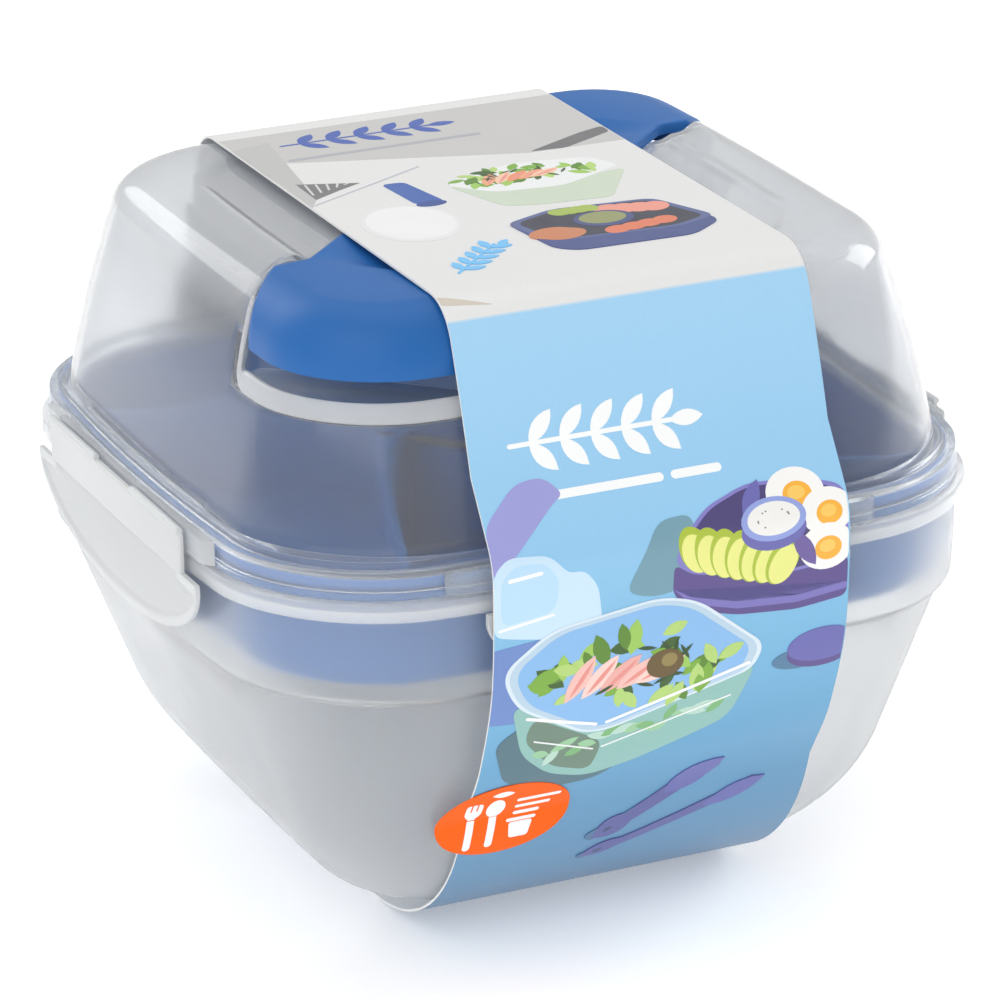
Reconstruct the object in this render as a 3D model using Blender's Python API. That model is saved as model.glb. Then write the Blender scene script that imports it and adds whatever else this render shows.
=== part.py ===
"""Snap lid food container: bowl, divided tray, sauce cup, domed lid with four latches,
cutlery stored under a clip-in strip, and a card sleeve with a seal sticker.

Lengths below are in millimetres and become metres when a mesh is made.
X runs along the front, Y from front (-Y) to back, Z up. Z = 0 is the underside of the sleeve.
"""
import math

import bmesh
import bpy
from mathutils import Matrix, Vector

MM = 0.001

# Clearances and wall thicknesses
GAP = 0.3
CARD = 0.5
WALL = 1.6
LID_WALL = 1.5
CHAMFER = 0.6

# Outline of every square section: corner arcs and slightly bowed sides
CORNER_STEPS = 5
SIDE_STEPS = 4
RIM_BOW = 0.055

# Bowl
BOWL_BASE_Z = CARD + GAP
BOTTOM_RADIUS = 52.0
BOTTOM_FLAT = 21.0
STEP_Z = 68.5
STEP_HALF = 83.0
BAND_HALF = 84.6
RIM_TOP_Z = 92.3
RIM_LOW_Z = 88.5
RIM_HALF = 86.6
RIM_RADIUS = 34.0
BASE_RADIUS = 16.0
LIP_UNDER_Z = 90.6
LIP_INNER_HALF = 85.5

# Tray
TRAY_FLANGE_TOP_Z = 93.8
TRAY_FLANGE_HALF = 84.0
TRAY_HALF = 82.4
TRAY_FLOOR_Z = 71.4
TRAY_WALL = 1.5
TRAY_FOOT_HALF = 75.0
TRAY_HEEL_HALF = 79.6
TRAY_SIDE_HALF = 80.9
RING_RADIUS = 26.0
RING_TOP_Z = 98.0
FIN_TOP_Z = 104.0
FIN_END_Z = 92.6
FIN_REACH = 80.6
FIN_THICK = 1.7
FIN_CURL = 34
FIN_SPREAD = 0.16
FIN_STEPS = 9
FIN_HEADINGS = (20, 110, 200, 290)

# Sauce cup
CUP_BASE_Z = 73.4
CUP_TOP_Z = 102.0
CUP_BASE_RADIUS = 19.5
CUP_TOP_RADIUS = 23.2
CUP_LID_RADIUS = 24.8
CUP_WALL = 1.3
CUP_LID_SKIRT = 2.6
CUP_LID_PANEL = 19.5
CUP_STEPS = 32

# Lid
LID_LOW_Z = 94.3
LID_FLANGE_Z = 98.7
SKIRT_HALF = 85.2
DOME_BASE_Z = 100.3
DOME_BASE_HALF = 81.4
DOME_TOP_Z = 147.2
DOME_TOP_HALF = 67.0
DOME_EDGE_RADIUS = 9.5
DOME_TOP_CORNER = 21.0
DOME_TOP_BOW = 0.022
DOME_BULGE = 2.4
PAN_HALF = 51.5
PAN_DEPTH = 1.2
LAND_HALF = 48.5
LAND_OUT = 86.0
CHANNEL_TOP_Z = 97.0
CHANNEL_IN_HALF = 80.4
CHANNEL_OUT_HALF = 83.4
LID_HOLLOW_HALF = 79.1
GASKET_MID_Z = 95.2
GASKET_TOP_Z = 96.6

# Trough for the cutlery, along the diagonal from the near left to the far right corner
TROUGH_FLOOR_Z = 133.5
TROUGH_LEDGE_Z = 145.0
TROUGH_MID_HALF = 19.2
TROUGH_LEDGE = 1.0
TROUGH_END_HALF = 24.4
TROUGH_WIDE_FROM = 49.0
TROUGH_FLARE = 5.0
TROUGH_REACH = 110.0
POCKET_FLOOR_Z = 126.8
POCKET_HALF = 26.5
POCKET_FROM = 66.0

# Cutlery cover
COVER_TOP_Z = 147.8
COVER_MID_HALF = 18.6
COVER_END_HALF = 23.5
COVER_FLAT = 58.0
COVER_ROUND = 12.5
COVER_LIP = 1.0
COVER_WALL_HALF = 71.2
COVER_WALL = 1.5
COVER_CHANNEL = 1.8
COVER_SKIRT = 2.4
COVER_COLUMNS = 8
COVER_WIDENS_AT = 0.94
COVER_WIDENS_BY = 0.14
CHANNEL_ENDS_AT = 0.86
CHANNEL_FADE = 0.16

# Cutlery
TOOL_Z = 134.0
TOOL_THICK = 1.8
TOOL_START = -81.0
TOOL_LENGTH = 154.0
TOOL_OFFSET = 9.6
# Half widths at shares of the length: the shared handle, then the knife's and the fork's heads
HANDLE = [(0.0, 2.6), (0.012, 4.6), (0.04, 6.0), (0.09, 6.6), (0.2, 6.2), (0.42, 4.6), (0.58, 4.2)]
BLADE = [(0.64, 5.4), (0.72, 6.8), (0.86, 7.0), (0.94, 6.0), (0.985, 3.6), (1.0, 1.2)]
FORK_HEAD = [(0.64, 5.2), (0.70, 7.0), (0.76, 8.0), (0.86, 8.2), (0.96, 7.9), (1.0, 7.0)]
HOLE_AT = 13.0
HOLE_LONG = 6.5
HOLE_WIDE = 3.0
HOLE_STEPS = 16
SLOT_PITCH = 4.0
SLOT_LENGTH = 30.0
SLOT_HALF = 1.15

# Latches
HINGE_Z = 98.0
HINGE_OUT = 87.35
BARREL_RADIUS = 0.85
PLATE_OUT = 88.0
PLATE_THICK = 1.1
PLATE_HALF = 38.8
NOTCH_HALF = 10.5
PLATE_LOW_Z = 88.6
TAB_HALF = 47.0
TAB_DROP = 17.6
TAB_LEAN = 0.3
TAB_LEAN_UNDER_CARD = 1.9
TAB_THICK = 1.0
TAB_SHOULDER = 1.2
TAB_STEPS = 16
BARREL_SIDES = 12

# Sleeve and sticker
SLEEVE_HALF = 40.0
SLEEVE_SLACK = 0.95
SLEEVE_LEAVES_Z = 114.0
SLEEVE_SIDE = [(88.6, 99.3), (88.5, 87.0), (87.8, 77.0), (86.5, 69.0), (83.6, 60.5), (79.0, 49.5)]
STICKER_X = -31.4
STICKER_RISE = 88.0
STICKER_WIDE = 15.2
STICKER_TALL = 11.0
STICKER_THICK = 0.15
STICKER_GAP = 0.12
STICKER_ROWS = 12


# ---------------------------------------------------------------- outlines and meshes
def square_outline(half, radius, bow):
    """Counter-clockwise outline of a round-cornered square with bowed sides."""
    radius = min(radius, 0.95 * half)
    centre = half - radius
    points = []
    for quarter in range(4):
        start = quarter * math.pi / 2
        cx = centre * (1 if quarter in (0, 3) else -1)
        cy = centre * (1 if quarter in (0, 1) else -1)
        for i in range(CORNER_STEPS + 1):
            a = start + math.pi / 2 * i / CORNER_STEPS
            points.append((cx + radius * math.cos(a), cy + radius * math.sin(a)))
        out = start + math.pi / 2
        for i in range(1, SIDE_STEPS):
            along = centre * (2 * i / SIDE_STEPS - 1)
            points.append((half * math.cos(out) - along * math.sin(out),
                           half * math.sin(out) + along * math.cos(out)))
    return [(x * (1 - bow * (y / half) ** 2), y * (1 - bow * (x / half) ** 2))
            for x, y in points]


def square_ring(half, z, radius, bow):
    return [(x, y, z) for x, y in square_outline(half, radius, bow)]


def circle_ring(radius, z, steps=28):
    return [(radius * math.cos(2 * math.pi * i / steps),
             radius * math.sin(2 * math.pi * i / steps), z) for i in range(steps)]


def make_object(name, bm, material):
    bmesh.ops.recalc_face_normals(bm, faces=bm.faces)
    mesh = bpy.data.meshes.new(name)
    bm.to_mesh(mesh)
    bm.free()
    mesh.transform(Matrix.Scale(MM, 4))
    obj = bpy.data.objects.new(name, mesh)
    bpy.context.collection.objects.link(obj)
    if material:
        mesh.materials.append(material)
        mesh.shade_smooth()
        mesh.set_sharp_from_angle(angle=math.radians(35))
    return obj


def add_loft(bm, rings, closed=False):
    """Skin equal-length rings. An open loft is capped; a closed one joins end to start."""
    loops = [[bm.verts.new(p) for p in ring] for ring in rings]
    pairs = list(zip(loops, loops[1:]))
    if closed:
        pairs.append((loops[-1], loops[0]))
    for low, high in pairs:
        for i in range(len(low)):
            j = (i + 1) % len(low)
            bm.faces.new((low[i], low[j], high[j], high[i]))
    if not closed:
        bm.faces.new(reversed(loops[0]))
        bm.faces.new(loops[-1])


def loft_object(name, rings, material, closed=False):
    bm = bmesh.new()
    add_loft(bm, rings, closed)
    return make_object(name, bm, material)


def prism_object(name, outline, low, high, material=None):
    return loft_object(name, [[(x, y, low) for x, y in outline],
                              [(x, y, high) for x, y in outline]], material)


def combine(target, other, operation):
    """Boolean another object into the target. The other one stays as a hidden guide."""
    modifier = target.modifiers.new(operation.lower() + "_" + other.name, "BOOLEAN")
    modifier.object = other
    modifier.operation = operation
    other.hide_render = True
    other.display_type = "WIRE"


def arc(centre, radius, start, end, steps):
    """Points (across, up) on an arc, angles in degrees."""
    return [(centre[0] + radius * math.cos(math.radians(start + (end - start) * i / steps)),
             centre[1] + radius * math.sin(math.radians(start + (end - start) * i / steps)))
            for i in range(steps + 1)]


def blend(a, b, t):
    t = min(max(t, 0.0), 1.0)
    return a + (b - a) * t * t * (3 - 2 * t)


def diagonal(u, v):
    """From (along the trough, across it) to (x, y)."""
    return ((u + v) / math.sqrt(2), (u - v) / math.sqrt(2))


def material(name, colour, roughness):
    mat = bpy.data.materials.new(name)
    mat.use_nodes = True
    shader = mat.node_tree.nodes["Principled BSDF"]
    shader.inputs["Base Color"].default_value = (*colour, 1.0)
    shader.inputs["Roughness"].default_value = roughness
    shader.inputs["Metallic"].default_value = 0.0
    return mat


# ---------------------------------------------------------------- bowl
def bowl_corner(z):
    """Corner radius and side bow at a height on the bowl's wall."""
    t = min(max((z - BOWL_BASE_Z) / (STEP_Z - BOWL_BASE_Z), 0), 1)
    return BASE_RADIUS + (RIM_RADIUS - BASE_RADIUS) * t, RIM_BOW * t


def bowl_profile(inset):
    """Wall from the flat bottom up to the band, (half width, height), moved in by inset."""
    centre = (BOTTOM_FLAT, BOWL_BASE_Z + BOTTOM_RADIUS)
    points = arc(centre, BOTTOM_RADIUS - inset, -90, -20, 6)
    points.append((STEP_HALF - inset, STEP_Z + 0.3 * inset))
    points.append((BAND_HALF - inset, STEP_Z + 1.8 + 0.3 * inset))
    return points


def build_bowl(mat):
    outer = [square_ring(w, z, *bowl_corner(z)) for w, z in bowl_profile(0)]
    lip = [(BAND_HALF, LIP_UNDER_Z), (LIP_INNER_HALF, LIP_UNDER_Z), (LIP_INNER_HALF, RIM_LOW_Z),
           (RIM_HALF, RIM_LOW_Z), (RIM_HALF, RIM_TOP_Z - CHAMFER), (RIM_HALF - CHAMFER, RIM_TOP_Z),
           (BAND_HALF - WALL, RIM_TOP_Z)]
    rim = [square_ring(w, z, RIM_RADIUS + w - RIM_HALF, RIM_BOW) for w, z in lip]
    inner = []
    for w, z in reversed(bowl_profile(WALL)):
        radius, bow = bowl_corner(z)
        inner.append(square_ring(w, z, radius - WALL, bow))
    return loft_object("bowl", outer + rim + inner, mat)


# ---------------------------------------------------------------- tray and sauce cup
def wall_along(path, thickness, low, tops):
    """Closed wall that follows a path in plan, with its own top height at each point."""
    rings = []
    for i, (x, y) in enumerate(path):
        before = Vector(path[max(i - 1, 0)])
        after = Vector(path[min(i + 1, len(path) - 1)])
        run = (after - before).normalized()
        side = Vector((-run.y, run.x)) * thickness / 2
        rings.append([(x + side.x, y + side.y, low), (x - side.x, y - side.y, low),
                      (x - side.x, y - side.y, tops[i]), (x + side.x, y + side.y, tops[i])])
    return rings


def build_tray(mat):
    def ring(half, z):
        return square_ring(half, z, RIM_RADIUS + half - RIM_HALF, RIM_BOW)

    flange_low = RIM_TOP_Z + GAP
    outer = [(TRAY_FOOT_HALF, TRAY_FLOOR_Z), (TRAY_HEEL_HALF, TRAY_FLOOR_Z + 1.4),
             (TRAY_SIDE_HALF, TRAY_FLOOR_Z + 5),
             (TRAY_HALF, flange_low), (TRAY_FLANGE_HALF, flange_low),
             (TRAY_FLANGE_HALF, TRAY_FLANGE_TOP_Z)]
    inner = [(TRAY_HALF - TRAY_WALL, TRAY_FLANGE_TOP_Z), (TRAY_SIDE_HALF - TRAY_WALL, TRAY_FLOOR_Z + 6),
             (TRAY_HEEL_HALF - TRAY_WALL, TRAY_FLOOR_Z + 2.6),
             (TRAY_FOOT_HALF - 0.5, TRAY_FLOOR_Z + TRAY_WALL)]
    tray = loft_object("tray", [ring(w, z) for w, z in outer + inner], mat)

    sink = TRAY_FLOOR_Z + 0.5
    collar = loft_object("guide_collar", [circle_ring(RING_RADIUS, sink),
                                          circle_ring(RING_RADIUS, RING_TOP_Z),
                                          circle_ring(RING_RADIUS - TRAY_WALL, RING_TOP_Z),
                                          circle_ring(RING_RADIUS - TRAY_WALL, sink)],
                         None, closed=True)
    combine(tray, collar, "UNION")
    for number, heading in enumerate(FIN_HEADINGS):
        path, tops = [], []
        for i in range(FIN_STEPS + 1):
            t = i / FIN_STEPS
            reach = RING_RADIUS - 0.6 + (FIN_REACH - RING_RADIUS) * t
            turn = math.radians(heading + FIN_CURL * math.sin(t * math.pi * 0.5))
            limit = (FIN_REACH - 0.2) / max(abs(math.cos(turn)), abs(math.sin(turn)))
            reach = min(reach * (1 + FIN_SPREAD * t), limit)
            path.append((reach * math.cos(turn), reach * math.sin(turn)))
            tops.append(blend(FIN_TOP_Z, FIN_END_Z, t * 1.25))
        bm = bmesh.new()
        add_loft(bm, wall_along(path, FIN_THICK, sink, tops))
        combine(tray, make_object(f"guide_fin_{number}", bm, None), "UNION")
    return tray


def build_sauce_cup(mat):
    wall = CUP_WALL
    profile = [(CUP_BASE_RADIUS - 1.5, CUP_BASE_Z), (CUP_BASE_RADIUS, CUP_BASE_Z + 1.5),
               (CUP_TOP_RADIUS, CUP_TOP_Z), (CUP_TOP_RADIUS - wall, CUP_TOP_Z),
               (CUP_BASE_RADIUS - wall, CUP_BASE_Z + 2.2),
               (CUP_BASE_RADIUS - wall - 1.2, CUP_BASE_Z + wall)]
    return loft_object("sauce_cup", [circle_ring(r, z, CUP_STEPS) for r, z in profile], mat)


def build_sauce_cup_lid(mat):
    low = CUP_TOP_Z - CUP_LID_SKIRT
    plug_z = CUP_TOP_Z + GAP - CHAMFER
    profile = [(CUP_TOP_RADIUS + GAP, low), (CUP_LID_RADIUS, low),
               (CUP_LID_RADIUS, CUP_TOP_Z + 1.2), (CUP_LID_RADIUS - 0.8, CUP_TOP_Z + 2.0),
               (CUP_LID_PANEL + 1.5, CUP_TOP_Z + 2.0), (CUP_LID_PANEL, CUP_TOP_Z + 1.0),
               (3.0, CUP_TOP_Z + 1.0)]
    under = [(3.0, plug_z), (CUP_LID_PANEL + 0.8, plug_z), (CUP_LID_PANEL + 1.3, CUP_TOP_Z + GAP),
             (CUP_TOP_RADIUS + GAP, CUP_TOP_Z + GAP)]
    bm = bmesh.new()
    rings = [circle_ring(r, z, CUP_STEPS) for r, z in list(reversed(profile)) + under[::-1]]
    add_loft(bm, rings)
    return make_object("sauce_cup_lid", bm, mat)


# ---------------------------------------------------------------- lid
def dome_wall(inset):
    """Dome wall from its base up over the rounded edge, (half width, height)."""
    lean = math.atan2(DOME_BASE_HALF - DOME_TOP_HALF, DOME_TOP_Z - DOME_BASE_Z)
    radius = DOME_EDGE_RADIUS - inset
    tangent = DOME_EDGE_RADIUS * math.tan((math.pi / 2 - lean) / 2)
    centre = (DOME_TOP_HALF - tangent, DOME_TOP_Z - DOME_EDGE_RADIUS)
    edge = arc(centre, radius, math.degrees(lean), 90, 4)
    wall = []
    for i in range(5):
        t = i / 5
        w = DOME_BASE_HALF - inset + (edge[0][0] - DOME_BASE_HALF + inset) * t
        wall.append((w + DOME_BULGE * t * (1 - t), DOME_BASE_Z + (edge[0][1] - DOME_BASE_Z) * t))
    return wall + edge


def dome_profile(inset):
    """The dome's wall and the shallow pan in its top."""
    top = DOME_TOP_Z - inset
    return dome_wall(inset) + [(PAN_HALF + 1.5, top), (PAN_HALF, top - PAN_DEPTH)]


def dome_corner(z):
    """Corner radius and side bow at a height on the dome."""
    t = min(max((z - DOME_BASE_Z) / (DOME_TOP_Z - DOME_BASE_Z), 0), 1)
    return (RIM_RADIUS + (DOME_TOP_CORNER - RIM_RADIUS) * t,
            RIM_BOW + (DOME_TOP_BOW - RIM_BOW) * t)


def dome_ring(half, z, inset):
    radius, bow = dome_corner(z)
    return square_ring(half, z, radius - inset, bow)


def trough_outline(mid, end, grow):
    """Plan of the trough: narrow between the ends, wide over both corners."""
    right = [(-TROUGH_REACH, end), (-TROUGH_WIDE_FROM - TROUGH_FLARE, end), (-TROUGH_WIDE_FROM, mid),
             (TROUGH_WIDE_FROM, mid), (TROUGH_WIDE_FROM + TROUGH_FLARE, end), (TROUGH_REACH, end)]
    left = [(u, -v) for u, v in reversed(right)]
    return [diagonal(u, v + math.copysign(grow, v)) for u, v in right + left]


def pocket_outline(side, grow):
    half = POCKET_HALF + grow
    near, far = side * (POCKET_FROM - grow), side * TROUGH_REACH
    return [diagonal(u, v) for u, v in ((near, half), (near, -half), (far, -half), (far, half))]


def cut_trough(target, grow):
    """Take the trough and its two end pockets out of the target, grown by a wall."""
    upper = prism_object(f"guide_upper_{target.name}",
                         trough_outline(TROUGH_MID_HALF, TROUGH_END_HALF, grow),
                         TROUGH_LEDGE_Z - grow, 170)
    lower = prism_object(f"guide_lower_{target.name}",
                         trough_outline(TROUGH_MID_HALF - TROUGH_LEDGE, TROUGH_END_HALF - 0.05, grow),
                         TROUGH_FLOOR_Z - grow, 165)
    combine(target, upper, "DIFFERENCE")
    combine(target, lower, "DIFFERENCE")
    for side, word in ((-1, "near"), (1, "far")):
        pocket = prism_object(f"guide_{word}_{target.name}", pocket_outline(side, grow),
                              POCKET_FLOOR_Z - grow, TROUGH_FLOOR_Z + 0.6 + grow)
        combine(target, pocket, "DIFFERENCE")


def build_lid(mat):
    def flange_ring(half, z):
        return square_ring(half, z, RIM_RADIUS + half - RIM_HALF, RIM_BOW)

    flange = [(CHANNEL_IN_HALF - 0.4, 95.6), (CHANNEL_IN_HALF, CHANNEL_TOP_Z),
              (CHANNEL_OUT_HALF, CHANNEL_TOP_Z), (CHANNEL_OUT_HALF + 0.2, LID_LOW_Z),
              (SKIRT_HALF, LID_LOW_Z), (SKIRT_HALF - CHAMFER, LID_FLANGE_Z),
              (DOME_BASE_HALF + 0.8, LID_FLANGE_Z + 0.2)]
    outer = [flange_ring(w, z) for w, z in flange]
    outer += [dome_ring(w, z, 0) for w, z in dome_profile(0)]
    lid = loft_object("lid", outer, mat)

    for turn in range(4):
        x0, x1 = SKIRT_HALF - 1.0, LAND_OUT
        land = [(x0, -LAND_HALF), (x1, -LAND_HALF + 3), (x1, LAND_HALF - 3), (x0, LAND_HALF)]
        spin = Matrix.Rotation(turn * math.pi / 2, 2)
        outline = [tuple(spin @ Vector(p)) for p in land]
        block = prism_object(f"guide_land_{turn}", outline, LID_LOW_Z + 0.6, LID_FLANGE_Z - 0.4)
        combine(lid, block, "UNION")

    hollow = [flange_ring(w, z) for w, z in ((LID_HOLLOW_HALF - 0.2, RIM_LOW_Z),
                                                 (LID_HOLLOW_HALF, CHANNEL_TOP_Z))]
    hollow += [dome_ring(w, z, LID_WALL) for w, z in dome_profile(LID_WALL)]
    inside = loft_object("guide_inside", hollow, None)
    cut_trough(inside, LID_WALL)
    cut_trough(lid, 0)
    combine(lid, inside, "DIFFERENCE")
    return lid


def build_gasket(mat):
    """Ring in the lid's channel, just above the tray's flange."""
    low = TRAY_FLANGE_TOP_Z + GAP
    inner, outer = CHANNEL_IN_HALF + 0.4, CHANNEL_OUT_HALF - GAP
    profile = [(inner, GASKET_MID_Z), (inner + 0.8, low), (outer - 0.5, low),
               (outer, GASKET_MID_Z), (outer - 0.2, GASKET_TOP_Z), (inner + 0.1, GASKET_TOP_Z)]
    rings = [square_ring(w, z, RIM_RADIUS + w - RIM_HALF, RIM_BOW) for w, z in profile]
    return loft_object("lid_gasket", rings, mat, closed=True)


# ---------------------------------------------------------------- cutlery cover
def cover_point(station, v, depth):
    """Point at a depth under the cover's outer face.

    A station from -1 to 1 lies on the flat middle, as a share of its length. Past that, the
    hood turns down over the dome's rounded corner by 90 degrees within the next whole unit.
    """
    side = math.copysign(1, station)
    turn = max(abs(station) - 1, 0) * math.pi / 2
    if turn == 0:
        x, y = diagonal(station * COVER_FLAT, v)
        return (x, y, COVER_TOP_Z - depth)
    drop = (COVER_ROUND - depth) * (1 - math.cos(turn))
    inward = (COVER_ROUND - depth) * (1 - math.sin(turn)) + depth
    radius, bow = dome_corner(COVER_TOP_Z - COVER_ROUND)
    half = COVER_WALL_HALF
    centre = math.sqrt(2) * (half - radius)
    round_end = radius - inward
    if abs(v) < round_end * math.sqrt(0.5):
        reach = centre + math.sqrt(round_end ** 2 - v ** 2)
    else:
        reach = math.sqrt(2) * (half - inward) - abs(v)
    x, y = diagonal(side * reach, v)
    ease = turn / (math.pi / 2)
    x, y = (x * (1 - bow * (y / half) ** 2), y * (1 - bow * (x / half) ** 2))
    return (x, y, COVER_TOP_Z - depth - drop - COVER_LIP * ease ** 3)


def cover_half_width(station):
    return blend(COVER_MID_HALF, COVER_END_HALF, (abs(station) - COVER_WIDENS_AT) / COVER_WIDENS_BY)


def cover_section(station):
    """Closed section across the cover: outer face, right skirt, inner face, left skirt."""
    half = cover_half_width(station)
    channel = COVER_CHANNEL * (1 - blend(0, 1, (abs(station) - CHANNEL_ENDS_AT) / CHANNEL_FADE))
    shares = [2 * i / COVER_COLUMNS - 1 for i in range(COVER_COLUMNS + 1)]
    inner = half - COVER_WALL
    ring = [cover_point(station, -half, COVER_SKIRT)]
    ring += [cover_point(station, half * s, channel * (1 - s * s)) for s in shares]
    ring += [cover_point(station, half, COVER_SKIRT), cover_point(station, inner, COVER_SKIRT)]
    ring += [cover_point(station, -inner * s, channel * (1 - s * s) + COVER_WALL) for s in shares]
    ring.append(cover_point(station, -inner, COVER_SKIRT))
    return ring


def build_cover(mat):
    half = [0.0, 0.4, 0.8, 0.88, COVER_WIDENS_AT, 1.0] + [1 + k / 6 for k in range(1, 7)]
    stations = [-s for s in reversed(half[1:])] + half
    return loft_object("cutlery_cover", [cover_section(s) for s in stations], mat)


# ---------------------------------------------------------------- cutlery
def tool_outline(widths):
    """Outline in (along, half width) from the handle end to the tip and back."""
    right = [(TOOL_START + t * TOOL_LENGTH, w) for t, w in widths]
    return right + [(u, -w) for u, w in reversed(right)]


def tool_object(name, outline, offset, mat):
    plan = [diagonal(u, v + offset) for u, v in outline]
    return prism_object(name, plan, TOOL_Z, TOOL_Z + TOOL_THICK, mat)


def handle_hole(name, offset):
    """Oval opening near the handle's end."""
    turns = [2 * math.pi * i / HOLE_STEPS for i in range(HOLE_STEPS)]
    outline = [diagonal(TOOL_START + HOLE_AT + HOLE_LONG * math.cos(a), offset + HOLE_WIDE * math.sin(a))
               for a in turns]
    return prism_object(name, outline, TOOL_Z - 2, TOOL_Z + TOOL_THICK + 2)


def build_knife(mat):
    knife = tool_object("knife", tool_outline(HANDLE + BLADE), -TOOL_OFFSET, mat)
    combine(knife, handle_hole("guide_knife_hole", -TOOL_OFFSET), "DIFFERENCE")
    return knife


def build_fork(mat):
    """Fork with three slots between four tines."""
    fork = tool_object("fork", tool_outline(HANDLE + FORK_HEAD), TOOL_OFFSET, mat)
    combine(fork, handle_hole("guide_fork_hole", TOOL_OFFSET), "DIFFERENCE")
    tip = TOOL_START + TOOL_LENGTH
    for number in (-1, 0, 1):
        v = TOOL_OFFSET + number * SLOT_PITCH
        root = tip - SLOT_LENGTH
        plan = [diagonal(u, w) for u, w in ((root, v), (root + 2, v + 0.8), (tip + 2, v + SLOT_HALF),
                                            (tip + 2, v - SLOT_HALF), (root + 2, v - 0.8))]
        slot = prism_object(f"guide_slot_{number + 1}", plan, TOOL_Z - 1, TOOL_Z + TOOL_THICK + 1)
        combine(fork, slot, "DIFFERENCE")
    return fork


# ---------------------------------------------------------------- latches
def latch_tab_rings(lean):
    """Thumb tab: half-oval outline that hangs below the rim and leans in a little."""
    rings = []
    top = PLATE_LOW_Z + CHAMFER
    for i in range(TAB_STEPS + 1):
        t = TAB_HALF * math.sin((2 * i / TAB_STEPS - 1) * math.pi / 2) * 0.999
        drop = TAB_SHOULDER + TAB_DROP * math.sqrt(max(1 - (t / TAB_HALF) ** 2, 0.0))
        outer, inner = [], []
        for row in (0.0, 0.35, 0.8, 1.0):
            z = top - drop * row
            depth = (top - z) / TAB_DROP
            face = PLATE_OUT - lean * depth ** 1.2
            outer.append((face, t, z))
            inner.append((face - TAB_THICK, t, z))
        rings.append(outer + inner[::-1])
    return rings


def build_latch(name, turn, lean, mat):
    """Latch on the +X side, then turned about Z. Its plate, hinge barrels and tab are one piece."""
    spin = Matrix.Rotation(turn, 4, "Z")
    inner = PLATE_OUT - PLATE_THICK
    plate_outline = [(inner, -PLATE_HALF), (PLATE_OUT, -PLATE_HALF + CHAMFER),
                     (PLATE_OUT, PLATE_HALF - CHAMFER), (inner, PLATE_HALF)]
    latch = prism_object(name, plate_outline, PLATE_LOW_Z - 0.4, HINGE_Z - 0.4, mat)
    bm = bmesh.new()
    add_loft(bm, latch_tab_rings(lean))
    parts = [make_object(f"guide_tab_{name}", bm, None)]
    for side in (-1, 1):
        ends = sorted((side * NOTCH_HALF, side * (PLATE_HALF - 0.3)))
        turns = [2 * math.pi * k / BARREL_SIDES for k in range(BARREL_SIDES)]
        rings = [[(HINGE_OUT + BARREL_RADIUS * math.cos(a), y, HINGE_Z + BARREL_RADIUS * math.sin(a))
                  for a in turns] for y in ends]
        bm = bmesh.new()
        add_loft(bm, rings)
        word = "low" if side < 0 else "high"
        parts.append(make_object(f"guide_barrel_{word}_{name}", bm, None))
    for part in parts:
        combine(latch, part, "UNION")
    axis = Vector((HINGE_OUT, 0, HINGE_Z)) * MM
    for obj in [latch] + parts:
        obj.data.transform(Matrix.Translation(-axis))
        obj.matrix_world = spin @ Matrix.Translation(axis)
    return latch


# ---------------------------------------------------------------- sleeve and sticker
def sleeve_profile(offset):
    """Right half of the card band's section, top to bottom, (y, z), moved out by offset."""
    over = [(0.0, DOME_TOP_Z + SLEEVE_SLACK)]
    over += [(w, z) for w, z in reversed(dome_wall(-SLEEVE_SLACK)) if z > SLEEVE_LEAVES_Z]
    bottom = arc((BOTTOM_FLAT, BOWL_BASE_Z + BOTTOM_RADIUS), BOTTOM_RADIUS + GAP, -17, -90, 8)
    path = over + SLEEVE_SIDE + bottom + [(BOTTOM_FLAT - 1, CARD), (0.0, CARD)]
    out = []
    for i, (y, z) in enumerate(path):
        y0, z0 = path[max(i - 1, 0)]
        y1, z1 = path[min(i + 1, len(path) - 1)]
        length = math.hypot(y1 - y0, z1 - z0)
        out.append((y - (z1 - z0) / length * offset, z + (y1 - y0) / length * offset))
    return out


def band_points(offset):
    """Closed band section in order: over the +Y side, then back over the -Y side."""
    half = sleeve_profile(offset)
    return half + [(-y, z) for y, z in reversed(half[1:-1])]


def build_sleeve(mat):
    inner, outer = band_points(0), band_points(CARD)
    rings = [[(-SLEEVE_HALF, y, z) for y, z in inner], [(SLEEVE_HALF, y, z) for y, z in inner],
             [(SLEEVE_HALF, y, z) for y, z in outer], [(-SLEEVE_HALF, y, z) for y, z in outer]]
    return loft_object("sleeve", rings, mat, closed=True)


def front_point(length, offset):
    """Point (y, z) on the sleeve's front at a length measured up from the bottom's edge."""
    line = [(-y, z) for y, z in reversed(sleeve_profile(offset))]
    travelled = 0.0
    for (y0, z0), (y1, z1) in zip(line, line[1:]):
        step = math.hypot(y1 - y0, z1 - z0)
        if travelled + step >= length:
            t = (length - travelled) / step
            return y0 + (y1 - y0) * t, z0 + (z1 - z0) * t
        travelled += step
    return line[-1]


def build_sticker(mat):
    """Oval seal on the lower front of the sleeve that runs over its left edge."""
    faces = []
    for offset in (CARD + STICKER_GAP, CARD + STICKER_GAP + STICKER_THICK):
        grid = []
        for i in range(STICKER_ROWS + 1):
            s = -math.cos(math.pi * i / STICKER_ROWS) * 0.995
            y, z = front_point(STICKER_RISE + STICKER_TALL * s, offset)
            wide = STICKER_WIDE * math.sqrt(1 - s * s)
            grid.append([(STICKER_X + wide * c, y, z) for c in (-1, -0.5, 0, 0.5, 1)])
        faces.append(grid)
    rings = [low + high[::-1] for low, high in zip(*faces)]
    return loft_object("sticker", rings, mat)


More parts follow.
